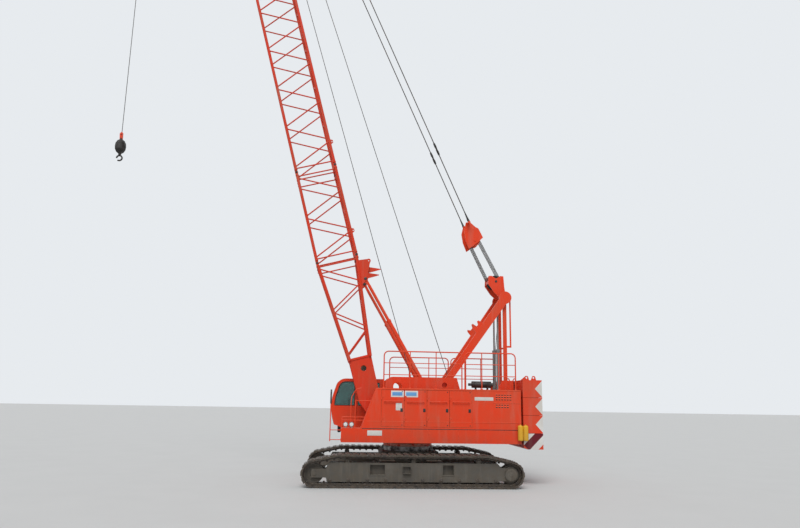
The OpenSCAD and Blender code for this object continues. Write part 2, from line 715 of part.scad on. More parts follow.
// Fork on the upper side of a front leg: [along the leg, out from its middle]
leg_fork = [[3560, 130], [3610, 300], [3665, 345], [3715, 240], [3830, 235], [3915, 335], [3965, 310], [3975, 130]];
leg_tie = 2350;
link_x = mast_x - 200;
link_low = mast_z - 1750;
module a_frame_front() {
    d = [mast_x - mast_foot_x, mast_z - mast_foot_z];
    n = [-d[1], d[0]] / norm(d) * leg_w / 2;
    color(red) {
        both_sides() difference() {
            union() {
                plate_xz([[mast_foot_x - n[0] * 0.6, mast_foot_z - n[1] * 0.6], [mast_foot_x + n[0] * 0.6, mast_foot_z + n[1] * 0.6],
                    [mast_x + n[0], mast_z + n[1]], [mast_x - n[0], mast_z - n[1]]], mast_y - leg_t / 2, mast_y + leg_t / 2);
                disc_y(mast_x, mast_z, mast_y - leg_t / 2, mast_y + leg_t / 2, 220);
                translate([mast_foot_x, 0, mast_foot_z]) rotate([0, -atan2(d[1], d[0]), 0]) mirror([0, 0, 1])
                    plate_xz(leg_fork, mast_y - 20, mast_y + 20);
                disc_y(ram_x, ram_high, ram_y - 40, mast_y, ram_pin_r);
                disc_y(mast_foot_x, mast_foot_z, mast_y - leg_t / 2, mast_y + leg_t / 2, leg_foot_r);
                disc_y(link_x, mast_z, rear_leg_y - 10, mast_y, 25);
            }
            disc_y(mast_foot_x, mast_foot_z, 0, body_y, leg_pin_r);
        }
        disc_y(mast_x, mast_z, -mast_y, mast_y, head_shaft_r);
        both_sides() difference() {
            plate_xz([for (p = sheave_head) [mast_x, mast_z] + p], 300, 330);
            disc_y(gantry_sheave_x, gantry_sheave_z, 0, body_y, gantry_pin_r + seat_gap);
        }
        block(mast_x + 510, mast_x + 530, -301, 301, mast_z + 560, mast_z + 790);
        tie = [mast_foot_x, mast_foot_z] + d / norm(d) * leg_tie;
        disc_y(tie[0], tie[1], -mast_y, mast_y, 60);
    }
}

// Cylinders which raise the A-frame, pinned to the frame and to the front legs
module a_frame_cylinders() {
    color([0.62, 0.62, 0.60]) both_sides() difference() {
        union() {
            translate([ram_x, ram_y, ram_low]) cylinder(h = ram_split - ram_low, r = ram_r);
            translate([ram_x, ram_y, ram_split - 1]) cylinder(h = ram_high - ram_split, r = ram_rod_r);
            translate([ram_x, ram_y, ram_split - 80]) cylinder(h = 90, r = ram_r + 12);
            disc_y(ram_x, ram_high, ram_y - 30, ram_y + 30, 58);
            disc_y(ram_x, ram_low, ram_y - 45, ram_y + 45, 85);
        }
        disc_y(ram_x, ram_high, 0, body_y, ram_pin_r + seat_gap);
        disc_y(ram_x, ram_low, 0, body_y, ram_low_r);
    }
}

module a_frame_rear() {
    color(red) both_sides() difference() {
        union() {
            block(mast_x - 65, mast_x + 65, rear_leg_y, rear_leg_y + rear_leg_t, beam_top + seat_gap, mast_z);
            disc_y(mast_x, mast_z, rear_leg_y, rear_leg_y + rear_leg_t, head_shaft_r + 45);
            block(link_x - 25, link_x + 25, rear_leg_y + 15, rear_leg_y + 45, link_low, mast_z);
            disc_y(link_x, mast_z, rear_leg_y + 5, rear_leg_y + 55, 45);
            block(link_x - 24, mast_x, rear_leg_y + 10, rear_leg_y + 50, link_low, link_low + 60);
        }
        disc_y(mast_x, mast_z, 0, body_y, head_shaft_r + seat_gap);
        disc_y(link_x, mast_z, 0, body_y, 25 + seat_gap);
    }
}

module a_frame_sheaves() {
    color(dark) {
        disc_y(gantry_sheave_x, gantry_sheave_z, -350, 350, gantry_pin_r);
        for (k = [-2:2]) sheave(gantry_sheave_x, k * 100, gantry_sheave_z, gantry_sheave_r, 60);
    }
}

// Handrails on the houses' roofs

rail_top = 1200;
rail_mids = [820, 440];
rail_tube = 20;
rail_bend = 150;
rail_y = 1500;
rail_split = -1640;
rail_rear = -3440;
// A length of rail from x0 to x1, with rounded upper corners and two posts between its ends
module rail_bay(x0, x1) {
    z1 = house_top + rail_top;
    for (x = [x0, x1]) bar([x, rail_y, house_top + seat_gap], [x, rail_y, z1 - rail_bend], rail_tube);
    bar([x0 + rail_bend, rail_y, z1], [x1 - rail_bend, rail_y, z1], rail_tube);
    bend([x1 - rail_bend, z1 - rail_bend], rail_y, rail_bend, rail_tube);
    translate([x0, 0, 0]) mirror([1, 0, 0]) bend([-rail_bend, z1 - rail_bend], rail_y, rail_bend, rail_tube);
    for (k = [1, 2]) bar([x0 + (x1 - x0) * k / 3, rail_y, house_top + seat_gap], [x0 + (x1 - x0) * k / 3, rail_y, z1],
        rail_tube - 4);
    for (h = rail_mids) bar([x0, rail_y, house_top + h], [x1, rail_y, house_top + h], rail_tube - 7);
}

// Rails on the front deck: [x of a post, its height above the deck]
deck_posts = [[2260, 350], [1840, rail_z - deck_z]];
deck_rail_y = 1540;
function house_front(z) = left_front_low + (left_front_top - left_front_low) * (z - deck_z) / (house_top - deck_z);
module deck_rails() {
    for (p = deck_posts) bar([p[0], deck_rail_y, deck_z + seat_gap], [p[0], deck_rail_y, deck_z + p[1]], rail_r);
    bar([deck_posts[1][0] - 1, deck_rail_y, rail_z], [house_front(rail_z - rail_r) + seat_gap, deck_rail_y, rail_z], rail_r - 3);
    for (h = [deck_posts[0][1], 250])
        bar([deck_posts[0][0], deck_rail_y, deck_z + h], [house_front(deck_z + h - rail_r) + seat_gap, deck_rail_y, deck_z + h],
            rail_r - 3);
}

module handrails() {
    color(red) {
        for (side = [[1, left_front_top - 240], [-1, right_front - 60]]) scale([1, side[0], 1]) {
            rail_bay(rail_split, side[1]);
            rail_bay(rail_rear, rail_split - 100);
        }
        deck_rails();
    }
}

// Work lamps on the front deck, each with its foot
lamp_xs = [2140, 1950];
lamp_r = 78;
lamp_z = deck_z + 115;
module work_lamps() {
    color([0.9, 0.9, 0.88]) for (x = lamp_xs) {
        translate([x, 1500, lamp_z]) rotate([-90, 0, 0]) rotate_extrude() polygon([[0, -70], [30, -70], [lamp_r - 20, -30],
            [lamp_r, 30], [lamp_r, 50], [0, 58]]);
        block(x - 20, x + 20, 1480, 1500, deck_z + seat_gap, lamp_z);
    }
}

// Mirror on its post, held by two arms on the deck's front
mirror_x = 2630;
mirror_y = 1560;
module mirror_post() {
    color(dark) {
        bar([mirror_x, mirror_y, bed_low + 30], [mirror_x, mirror_y, 2560], 16);
        for (z = [bed_low + 80, deck_z - 60]) {
            bar([deck_front + 5, mirror_y, z], [mirror_x, mirror_y, z], 12);
            block(deck_front + seat_gap, deck_front + 12, mirror_y - 40, mirror_y + 38, z - 40, z + 40);
        }
        block(mirror_x - 25, mirror_x + 25, mirror_y - 100, mirror_y + 100, 2620, 2860);
        for (z = [2620, 2860]) disc_x(mirror_x - 25, mirror_x + 25, mirror_y, z, 100);
    }
}

module disc_x(x0, x1, y, z, r) {
    translate([x0, y, z]) rotate([0, 90, 0]) cylinder(h = x1 - x0, r = r);
}

// Exhaust silencer on the left house's roof
exhaust_y = 1060;
exhaust_z = house_top + 175;
module exhaust() {
    color(dark) {
        disc_x(-2700, -2050, exhaust_y, exhaust_z, 110);
        disc_x(-2760, -2699, exhaust_y, exhaust_z, 60);
        disc_x(-2051, -1930, exhaust_y, exhaust_z, 45);
        for (x = [-2600, -2200]) block(x, x + 40, exhaust_y - 80, exhaust_y + 80, house_top + seat_gap, exhaust_z - 70);
    }
}

// Pair of canisters strapped to the skirt's rear end
can_r = 85;
can_xs = [bed_rear + 60, bed_rear - 112];
module canister() {
    color([0.95, 0.68, 0.10]) translate([0, body_y + can_r + 12, 0]) {
        for (x = can_xs) translate([x, 0, 1420]) rotate_extrude() polygon(concat([[0, 0]], arc([can_r - 30, 30], 30, -90, 0, 4),
            arc([can_r - 50, 440], 50, 0, 90, 4), [[22, 490], [22, 515], [0, 515]]));
        block(bed_rear + 1, can_xs[0], -can_r - 12 + seat_gap, -can_r + 25, 1560, 1640);
        for (z = [1560, 1800]) block(can_xs[1], can_xs[0], -20, 20, z, z + 60);
    }
}

// Cab: the side outline in X and Z, from the rear lower corner round the front

nose_c = [995, cab_low + 955];
nose_r = 1665;
crown_c = [2170, cab_low + 1590];
crown_r = 350;
cab_side = concat([[760, cab_low], [2180, cab_low], [2300, cab_low + 240]], arc(nose_c, nose_r, -22, 22, 12),
    arc(crown_c, crown_r, 12, 90, 8), [[830, cab_low + 1590 + crown_r], [760, cab_low + 1870]]);
function inset(points, d) = let (c = [1600, cab_low + 980])
    [for (p = points) c + (p - c) * (1 - d / 950)];
door_cab_x0 = 860;
door_cab_x1 = 1760;

window_sill = cab_low + 1000;
window_rail = 110;
side_window = concat([[1840, window_sill]],
    arc(nose_c, nose_r - window_rail, asin((window_sill - nose_c[1]) / (nose_r - window_rail)), 20, 6),
    arc(crown_c, crown_r - window_rail, 18, 90, 6), [[1840, crown_c[1] + crown_r - window_rail]]);

module cab_shell() {
    color(red) difference() {
        plate_xz(cab_side, -cab_out, -cab_in);
        plate_xz(inset(cab_side, cab_wall), -cab_out + cab_wall, -cab_in - cab_wall);
        // side windows
        plate_xz(side_window, -cab_out - 1, -cab_in + 1);
        block(960, 1720, -cab_in - cab_wall - 1, -cab_in + 1, window_sill, cab_low + 1800);
        // windscreen
        block(2150, 2700, -cab_out + 90, -cab_in - 90, cab_low + 330, cab_low + 1800);
        // door opening
        block(door_cab_x0, door_cab_x1, -cab_out - 1, -cab_out + cab_wall + 1, cab_low + 60, cab_low + 1860);
    }
    color(red) for (z = cab_hinge_zs) scale([1, -1, 1]) hinge_fixed(door_cab_x1 - door_gap, cab_out, z, cab_wall);
}
cab_hinge_zs = [cab_low + 360, cab_low + 1560];

module cab_door() {
    color(red) difference() {
        block(door_cab_x0 + door_gap, door_cab_x1 - door_gap, -cab_out, -cab_out + cab_wall,
            cab_low + 60 + door_gap, cab_low + 1860 - door_gap);
        block(door_cab_x0 + 110, door_cab_x1 - 110, -cab_out - 1, -cab_out + cab_wall + 1,
            cab_low + 850, cab_low + 1780);
    }
    color(red) for (z = cab_hinge_zs) scale([1, -1, 1]) hinge_moving(door_cab_x1 - door_gap, cab_out, z);
}

module cab_glass() {
    color([0.35, 0.45, 0.45, 0.5]) intersection() {
        difference() {
            plate_xz(inset(cab_side, 12), -cab_out + 90 + seat_gap, -cab_in - 90 - seat_gap);
            plate_xz(inset(cab_side, 30), -cab_out, -cab_in);
        }
        block(2150, 2700, -cab_out, -cab_in, cab_low + 330 + seat_gap, cab_low + 1800 - seat_gap);
    }
    color([0.35, 0.45, 0.45, 0.5]) for (y = [-cab_out + 14, -cab_in - 20]) plate_xz(side_window, y, y + 6);
}

module cab_seat() {
    color(dark) {
        block(1050, 1560, -1500, -1000, cab_low + 500, cab_low + 620);
        block(1000, 1120, -1500, -1000, cab_low + 610, cab_low + 1250);
        block(1150, 1450, -1400, -1100, cab_low + cab_wall * 980 / 950 + seat_gap, cab_low + 501);
    }
}

// Backstops: a tube pinned to the winch frame and a rod pinned to the boom

stop_x = -450;
stop_z = 3250;
stop_pin_r = 30;
// From the base section's upper joint down to the backstop's eye
stop_back = 910;
stop_l = base_l - stop_back;
stop_d = 810;
stop_y = 590;
stop_eye = [foot_x + stop_l * cos(boom_a) - stop_d * sin(boom_a), foot_z + stop_l * sin(boom_a) + stop_d * cos(boom_a)];
stop_len = norm(stop_eye - [stop_x, stop_z]);
stop_a = atan2(stop_eye[1] - stop_z, stop_eye[0] - stop_x);
tube_r = 70;
tube_l = 2450;
rod_r = tube_r - 18;
rod_eye_r = 68;
gland_l = 90;
stop_tang = 270;

module along_stop() {
    both_sides() translate([stop_x, stop_y, stop_z]) rotate([0, -stop_a, 0]) children();
}

module backstop_tubes() {
    color(red) along_stop() difference() {
        union() {
            translate([120, 0, 0]) rotate([0, 90, 0]) cylinder(h = tube_l - 120, r = tube_r);
            translate([tube_l - gland_l, 0, 0]) rotate([0, 90, 0]) cylinder(h = gland_l, r = tube_r + 10);
            block(0, 125, -35, 35, -60, 60);
            disc_y(0, 0, -35, 35, 95);
        }
        disc_y(0, 0, -100, 100, stop_pin_r + turn_gap);
        translate([150, 0, 0]) rotate([0, 90, 0]) cylinder(h = tube_l - 150 - gland_l / 2, r = tube_r - 12);
        translate([150, 0, 0]) rotate([0, 90, 0]) cylinder(h = tube_l, r = rod_r + turn_gap);
    }
}

module backstop_rods() {
    color(red) along_stop() difference() {
        union() {
            translate([350, 0, 0]) rotate([0, 90, 0]) cylinder(h = stop_len - 350 - stop_tang, r = rod_r);
            block(stop_len - stop_tang - 20, stop_len, -30, 30, -45, 45);
            disc_y(stop_len, 0, -30, 30, rod_eye_r);
        }
        disc_y(stop_len, 0, -100, 100, stop_pin_r);
    }
}

// Boom, in its own frame: X along the boom from the foot pin, Z to its rear

module on_boom() {
    translate([foot_x, 0, foot_z]) rotate([0, -boom_a, 0]) children();
}

// The four chords and the lacing of a section from x0 to x1.
// d and w are the distances between chord centres at its two ends.
// The lacing of the front and rear faces is half a panel off that of the sides.
lace_margin = 168;
lace_split = 45;
cross_r = chord_r - 9;
joint_l = 110;
end_inset = 150;
module lattice(x0, x1, d0, d1, w0, w1, trim0 = joint_l, trim1 = joint_l) {
    panels = round((x1 - x0 - 2 * lace_margin) / (lace_pitch / 2));
    step = (x1 - x0 - 2 * lace_margin) / panels;
    function depth(x) = (d0 + (d1 - d0) * (x - x0) / (x1 - x0)) / 2;
    function width(x) = (w0 + (w1 - w0) * (x - x0) / (x1 - x0)) / 2;
    function corner(x, sy, sz) = [x, sy * width(x), sz * depth(x)];
    for (sy = [-1, 1]) for (sz = [-1, 1]) bar(corner(x0 + trim0, sy, sz), corner(x1 - trim1, sy, sz), chord_r);
    for (i = [0:panels - 1]) {
        s = i % 2 == 0 ? 1 : -1;
        xa = x0 + lace_margin + i * step + lace_split;
        xb = xa + step - 2 * lace_split;
        for (sy = [-1, 1]) bar(corner(xa, sy, -s), corner(xb, sy, s), lace_r);
        if (i < panels - 1) for (sz = [-1, 1])
            bar(corner(xa + step / 2, -s, sz), corner(xb + step / 2, s, sz), lace_r);
    }
}

// Cross tubes at a section's end, in the front and rear faces and in the two sides
module end_frame(x, d, w) {
    for (s = [-1, 1]) {
        bar([x, s * w / 2, -d / 2], [x, s * w / 2, d / 2], lace_r);
        bar([x, -w / 2, s * d / 2], [x, w / 2, s * d / 2], lace_r);
    }
}

// Pin joints between sections: ears and their pins at a section's upper end, tongues at its lower end
ear_r = 58;
ear_t = 22;
tongue_t = 56;
ear_in = tongue_t / 2 + 2;
joint_pin_r = 28;
fork_z = chord_r + 6;
fork_y = chord_r + 3;
module at_chords(x) {
    for (sy = [-1, 1]) for (sz = [-1, 1]) translate([x, sy * chord_w / 2, sz * chord_d / 2]) children();
}

module joint_ears(x) {
    at_chords(x) {
        block(-joint_l - 8, -joint_l + 15, -fork_y, fork_y, -fork_z, fork_z);
        for (y = [-ear_in - ear_t, ear_in]) {
            block(-joint_l, 0, y, y + ear_t, -ear_r + 12, ear_r - 12);
            disc_y(0, 0, y, y + ear_t, ear_r);
        }
        disc_y(0, 0, -ear_in - ear_t - 8, ear_in + ear_t + 8, joint_pin_r);
    }
}

module joint_tongues(x) {
    at_chords(x) difference() {
        union() {
            block(joint_l - 15, joint_l + 8, -fork_y, fork_y, -fork_z, fork_z);
            block(0, joint_l, -tongue_t / 2, tongue_t / 2, -ear_r + 14, ear_r - 14);
            disc_y(0, 0, -tongue_t / 2, tongue_t / 2, ear_r - 2);
        }
        disc_y(0, 0, -tongue_t, tongue_t, joint_pin_r + seat_gap);
    }
}

plate_end = 2000;
plate_d = 720;
foot_hole = [plate_end - 350, 40, 100];
// Rear chord of the base section, from the middle of the section
function base_rear(x) = plate_d / 2 + (chord_d - plate_d) / 2 * (x - plate_end) / (base_l - plate_end);
catch_t = 12;
catch_in = 40;
catch_foot = stop_l - 200;
catch_end = base_l - end_inset - 60;
catch_ear = [base_l - 310, stop_d + 260];
catch_outline = concat([[catch_foot, base_rear(catch_foot)]], arc([stop_l, stop_d], 90, 190, 60),
    arc(catch_ear, 70, 150, -20), [[catch_end, base_rear(catch_end)]]);
// Rope guide on the catch: [along the boom from the eye, behind the eye]
horn = [[180, 50], [205, 600], [232, 605], [400, 190]];
module boom_base() {
    color(boom_red) on_boom() {
        lattice(plate_end, base_l, plate_d, chord_d, chord_w, chord_w, trim0 = 0);
        end_frame(base_l - end_inset, 2 * base_rear(base_l - end_inset), chord_w);
        joint_ears(base_l);
        both_sides() difference() {
            union() {
                plate_xz(concat(arc([0, 0], 130, 250, 110), [[600, plate_d / 2], [plate_end + 60, plate_d / 2 + 30],
                    [plate_end + 60, -plate_d / 2 - 30], [600, -plate_d / 2]]), bracket_in - 70, bracket_in - run_gap);
                block(plate_end - 10, plate_end + 10, bracket_in - run_gap - 1, bracket_in + 16, -plate_d / 2 - 28, plate_d / 2 + 28);
                disc_y(0, 0, bracket_in - 70, bracket_in - run_gap, 130);
                disc_y(0, 0, bracket_in - 90, bracket_out + 20, foot_pin_r);
            }
            disc_y(foot_hole[0], foot_hole[1], 0, body_y, foot_hole[2]);
        }
        for (z = [-plate_d / 2, plate_d / 2]) bar([plate_end, -bracket_in + 30, z], [plate_end, bracket_in - 30, z], cross_r);
        both_sides() {
            for (y = [stop_y - catch_in - catch_t, stop_y + catch_in]) difference() {
                plate_xz(catch_outline, y, y + catch_t);
                disc_y(stop_l, stop_d, 0, body_y, stop_pin_r);
                disc_y(catch_ear[0], catch_ear[1], 0, body_y, 26);
            }
            plate_xz([[catch_foot, base_rear(catch_foot)], [catch_end, base_rear(catch_end)],
                [catch_end, base_rear(catch_end) + chord_r + 7], [catch_foot, base_rear(catch_foot) + chord_r + 7]],
                stop_y - catch_in - catch_t, stop_y + catch_in + catch_t);
            plate_xz([for (p = horn) [stop_l, stop_d] + p], stop_y - catch_in - catch_t, stop_y - catch_in);
        }
    }
}

function joint_at(i) = base_l + [0, short_l, short_l + long_l, short_l + 2 * long_l][i];

// Lug on each rear chord of an insert: distance above the lower joint, half its length, height
rest_lug = [880, 110, 130];
module insert(i, l) {
    x0 = joint_at(i);
    color(boom_red) on_boom() {
        lattice(x0, x0 + l, chord_d, chord_d, chord_w, chord_w);
        end_frame(x0 + end_inset, chord_d, chord_w);
        end_frame(x0 + l - end_inset, chord_d, chord_w);
        joint_tongues(x0);
        joint_ears(x0 + l);
        both_sides() translate([x0 + rest_lug[0], 0, chord_d / 2]) difference() {
            plate_xz([[-rest_lug[1], 20], [rest_lug[1], 20], [rest_lug[1] / 2, rest_lug[2]],
                [-rest_lug[1] / 3, rest_lug[2]]], chord_w / 2 - 10, chord_w / 2 + 10);
            disc_y(0, rest_lug[2] - 40, 0, body_y, 20);
        }
    }
}

tip_x0 = joint_at(3);
head_x = boom_l;
head_d = 620;
head_w = 900;
tip_slope = (chord_d - head_d) / 2 / (head_x - 900 - tip_x0);
tip_narrow = (chord_w - head_w) / 2 / (head_x - 900 - tip_x0);
jib_bore_r = 35;
head_pin_r = 60;
stay_y = 485;
stay_x = head_x - 400;
stay_z = 370;
stay_pin_r = 40;
deflector_x = head_x - 900;
deflector_z = 520;
deflector_r = 120;
deflector_w = 340;
deflector_pin_r = 35;
head_outline = concat([[head_x - 1050, -head_d / 2 - 40]], arc([head_x, 0], 190, -105, 55),
    arc([stay_x, stay_z], 105, 45, 100, 4), arc([deflector_x, deflector_z], 100, 80, 180, 6),
    [[head_x - 1050, head_d / 2 + 40]]);
module boom_tip() {
    color(boom_red) on_boom() {
        lattice(tip_x0, head_x - 900, chord_d, head_d, chord_w, head_w, trim1 = 0);
        end_frame(tip_x0 + end_inset, chord_d - 2 * tip_slope * end_inset, chord_w - 2 * tip_narrow * end_inset);
        joint_tongues(tip_x0);
        both_sides() difference() {
            plate_xz(head_outline, head_w / 2 - 20, head_w / 2 + 10);
            disc_y(deflector_x, deflector_z, 0, body_y, deflector_pin_r + seat_gap);
            disc_y(head_x, 0, 0, body_y, head_pin_r + seat_gap);
            disc_y(stay_x, stay_z, 0, body_y, stay_pin_r + seat_gap);
            disc_y(head_x - 700, -200, 0, body_y, jib_bore_r);
        }
        for (z = [-head_d / 2, head_d / 2]) bar([head_x - 900, -head_w / 2, z], [head_x - 900, head_w / 2, z], cross_r);
    }
}

module boom_sheaves() {
    color(dark) on_boom() {
        disc_y(head_x, 0, -head_w / 2 - 30, head_w / 2 + 30, head_pin_r);
        for (y = [-300, -100, 0, 100, 300]) sheave(head_x, y, 0, head_sheave_r, 60);
        // roller which holds the hoist ropes off the boom's rear side
        disc_y(deflector_x, deflector_z, -head_w / 2 - 15, head_w / 2 + 15, deflector_pin_r);
        disc_y(deflector_x, deflector_z, -deflector_w / 2, deflector_w / 2, deflector_r);
        for (y = [-deflector_w / 2, deflector_w / 2 - 20]) disc_y(deflector_x, deflector_z, y, y + 20, deflector_r + 30);
    }
}

bridle_bar_r = 45;
module pendants() {
    top = [stay_x, stay_y, stay_z];
    low = [bridle_l, stay_y, bridle_d];
    color(dark) on_boom() both_sides() {
        bar(low + (top - low) / norm(top - low) * (bridle_bar_r + seat_gap), top, stay_r);
        disc_y(stay_x, stay_z, stay_y - 75, stay_y + 25, stay_pin_r);
    }
}

bridle_axle = [-640, 80];
bridle_sheave_r = 200;
// Side plate of the bridle, from its bar: [along the boom, behind it]
bridle_outline = [[60, -70], [60, 70], [-180, 235], [-250, 320], [-380, 350], [-620, 400], [-760, 150], [-910, -210],
    [-560, -250], [-230, -220]];
module bridle() {
    color(red) on_boom() {
        translate([bridle_l, 0, bridle_d]) {
            bar([0, -stay_y - 40, 0], [0, stay_y + 40, 0], bridle_bar_r);
            both_sides() plate_xz(bridle_outline, 260, 290);
            for (k = [-2:2]) sheave(bridle_axle[0], k * 100, bridle_axle[1], bridle_sheave_r, 60);
            disc_y(bridle_axle[0], bridle_axle[1], -310, 310, 40);
            disc_y(-230, 130, -300, 300, 30);
        }
    }
}

// Hook: the rope hangs from the front of the middle head sheave

head_px = foot_x + boom_l * cos(boom_a);
head_pz = foot_z + boom_l * sin(boom_a);
rope_x = head_px + head_sheave_r - groove + rope_r + turn_gap;

socket_top = 540;
// Half outline of the ball in shares of its radius
ball_outline = [[0, -1.42], [0.32, -1.39], [0.68, -1.1], [0.95, -0.58], [1, 0], [0.95, 0.58], [0.68, 1.1],
    [0.32, 1.39], [0, 1.42]];

module hoist_rope() {
    low = ball_z + socket_top + seat_gap;
    color(dark) translate([rope_x, 0, low]) cylinder(h = head_pz - low, r = rope_r);
}

module hook_ball() {
    color(dark) translate([rope_x, 0, ball_z]) {
        rotate_extrude() polygon(ball_outline * ball_r);
        translate([0, 0, 230]) cylinder(h = 60, r = 55);
        plate_xz([[-45, 270], [45, 270], [60, 480], [20, socket_top], [-20, socket_top], [-40, 520]], -35, 35);
        translate([0, 0, -330]) cylinder(h = 80, r = 50);
        translate([0, 0, -440]) rotate([90, 0, 0]) rotate_extrude(angle = 300) translate([95, 0]) circle(r = 28);
    }
}

carbody();
slew_ring();
side_frame();  // side_frame_left
mirror([0, 1, 0]) side_frame();  // side_frame_right
track();  // track_left
mirror([0, 1, 0]) track();  // track_right
both_sides() idler();  // idlers
both_sides() drive();  // drive_wheels
both_sides() rollers();
revolving_frame();
house_left();
house_right();
engine();
winch_frame();
winch_drums();
counterweight_base();
counterweight_slab(0);  // counterweight_slab_1
counterweight_slab(1);  // counterweight_slab_2
counterweight_slab(2);  // counterweight_slab_3
a_frame_front();
a_frame_rear();
a_frame_cylinders();
a_frame_sheaves();
handrails();
work_lamps();
mirror_post();
exhaust();
canister();
cab_shell();
cab_glass();
cab_door();
cab_seat();
door(0, 1);  // door_left_1
door(1, 1);  // door_left_2
door(2, 1);  // door_left_3
door(3, 1);  // door_left_4
door(2, -1);  // door_right_1
door(3, -1);  // door_right_2
backstop_tubes();
backstop_rods();
boom_base();
insert(0, short_l);  // boom_insert_short
insert(1, long_l);  // boom_insert_1
insert(2, long_l);  // boom_insert_2
boom_tip();
boom_sheaves();
pendants();
bridle();
hoist_rope();
hook_ball();
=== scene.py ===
# Crawler crane with a lattice boom: its finishes, ropes and small fittings.
import json
import math

import bmesh
import bpy
from mathutils import Matrix, Vector
from mathutils.bvhtree import BVHTree


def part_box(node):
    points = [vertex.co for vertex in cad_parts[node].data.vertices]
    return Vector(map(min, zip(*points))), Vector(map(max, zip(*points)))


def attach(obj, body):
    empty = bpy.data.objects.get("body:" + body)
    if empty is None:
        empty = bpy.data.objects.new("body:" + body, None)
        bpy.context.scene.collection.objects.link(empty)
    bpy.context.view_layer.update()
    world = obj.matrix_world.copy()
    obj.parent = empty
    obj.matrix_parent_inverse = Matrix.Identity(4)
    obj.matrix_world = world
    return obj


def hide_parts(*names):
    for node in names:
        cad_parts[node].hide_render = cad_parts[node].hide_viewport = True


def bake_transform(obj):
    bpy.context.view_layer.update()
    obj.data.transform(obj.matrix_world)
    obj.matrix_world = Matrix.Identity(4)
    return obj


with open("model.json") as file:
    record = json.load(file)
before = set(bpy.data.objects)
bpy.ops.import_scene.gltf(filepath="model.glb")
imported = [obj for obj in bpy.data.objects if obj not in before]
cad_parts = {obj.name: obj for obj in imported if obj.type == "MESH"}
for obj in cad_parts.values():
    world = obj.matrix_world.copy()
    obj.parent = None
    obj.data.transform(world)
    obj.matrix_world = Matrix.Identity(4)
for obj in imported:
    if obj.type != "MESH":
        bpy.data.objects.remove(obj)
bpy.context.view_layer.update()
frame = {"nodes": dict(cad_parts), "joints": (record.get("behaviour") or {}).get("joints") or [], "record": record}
nodes = frame["nodes"]
joints = {joint["name"]: joint for joint in frame["joints"]}
print("Frame loaded with", len(nodes), "nodes")


class Values(dict):  # values to change, read as look.name
    __getattr__ = dict.__getitem__


# Node helpers for the finishes. A socket knows its tree, so only a chain's first node is given one.

masks = Values(
    noiseDetail=4, noiseRoughness=0.6,
    dustSlope=(0.55, 0.95),  # how far up a face looks where dust starts to lie and where all of it does
    edgeSamples=4,
    edgeTurn=(0.97, 0.78),  # rounded against true normal, where an edge starts and where it is full
)


def feed(node, values):
    for key, value in values.items():
        if isinstance(value, bpy.types.NodeSocket):
            node.id_data.links.new(value, node.inputs[key])
        elif node.inputs[key].type == "RGBA":
            node.inputs[key].default_value = (*value, 1)
        else:
            node.inputs[key].default_value = value
    return node


def addNode(tree, kind, values, **settings):
    made = tree.nodes.new(kind)
    for key, value in settings.items():
        setattr(made, key, value)
    return feed(made, values)


def objectSpace(tree, stretch=(1, 1, 1)):
    space = tree.nodes.new("ShaderNodeTexCoord").outputs["Object"]
    return addNode(tree, "ShaderNodeMapping", {"Vector": space, "Scale": stretch}).outputs[0]


def spread(value, low, high, toLow=0.0, toHigh=1.0):
    limits = {"Value": value, "From Min": low, "From Max": high, "To Min": toLow, "To Max": toHigh}
    return addNode(value.id_data, "ShaderNodeMapRange", limits, clamp=True).outputs[0]


def noiseMask(tree, scale, low, high, stretch=(1, 1, 1)):
    noise = {"Vector": objectSpace(tree, stretch), "Scale": scale, "Detail": masks.noiseDetail,
             "Roughness": masks.noiseRoughness}
    return spread(addNode(tree, "ShaderNodeTexNoise", noise).outputs["Fac"], low, high)


def waveMask(tree, direction, scale, **more):
    wave = {"Vector": objectSpace(tree), "Scale": scale, **more}
    return addNode(tree, "ShaderNodeTexWave", wave, bands_direction=direction).outputs["Fac"]


def combine(operation, first, second):
    return addNode(first.id_data, "ShaderNodeMath", {0: first, 1: second}, operation=operation).outputs[0]


def times(first, second):
    return combine("MULTIPLY", first, second)


def largest(first, second):
    return combine("MAXIMUM", first, second)


def mixColour(factor, first, second):
    values = {0: factor, 6: first, 7: second}
    return addNode(factor.id_data, "ShaderNodeMix", values, data_type="RGBA").outputs[2]


def upward(vector):
    return addNode(vector.id_data, "ShaderNodeSeparateXYZ", {"Vector": vector}).outputs["Z"]


def trueNormal(tree):
    return tree.nodes.new("ShaderNodeNewGeometry").outputs["Normal"]


def heightMask(tree, none, full):
    return spread(upward(objectSpace(tree)), none, full)


def edgeMask(tree, radius):
    rounded = addNode(tree, "ShaderNodeBevel", {"Radius": radius}, samples=masks.edgeSamples).outputs[0]
    both = {0: rounded, 1: trueNormal(tree)}
    alike = addNode(tree, "ShaderNodeVectorMath", both, operation="DOT_PRODUCT").outputs["Value"]
    return spread(alike, *masks.edgeTurn)


def addBump(shader, height, strength, distance):
    bump = {"Height": height, "Strength": strength, "Distance": distance}
    feed(shader, {"Normal": addNode(shader.id_data, "ShaderNodeBump", bump).outputs[0]})


finishes = {}


def newFinish(name):
    finishes[name] = bpy.data.materials.new(name)
    finishes[name].use_nodes = True
    tree = finishes[name].node_tree
    return tree, tree.nodes["Principled BSDF"]


# Paints: colour, its faded tone, how dusty, how muddy up to which height, how chipped, how rough.
# Each noise is its scale, where its mask starts, where it is full and, where need be, its stretch.

mudColour = (0.105, 0.086, 0.065)
dustColour = (0.36, 0.30, 0.23)
bareColour = (0.075, 0.045, 0.032)
edgeHighlightColour = (0.92, 0.17, 0.075)  # painted highlight: brighter red along the rounded edges, partly sun-faded paint
scuffColour = (0.74, 0.44, 0.34)  # scuffs along the deck's lower lip

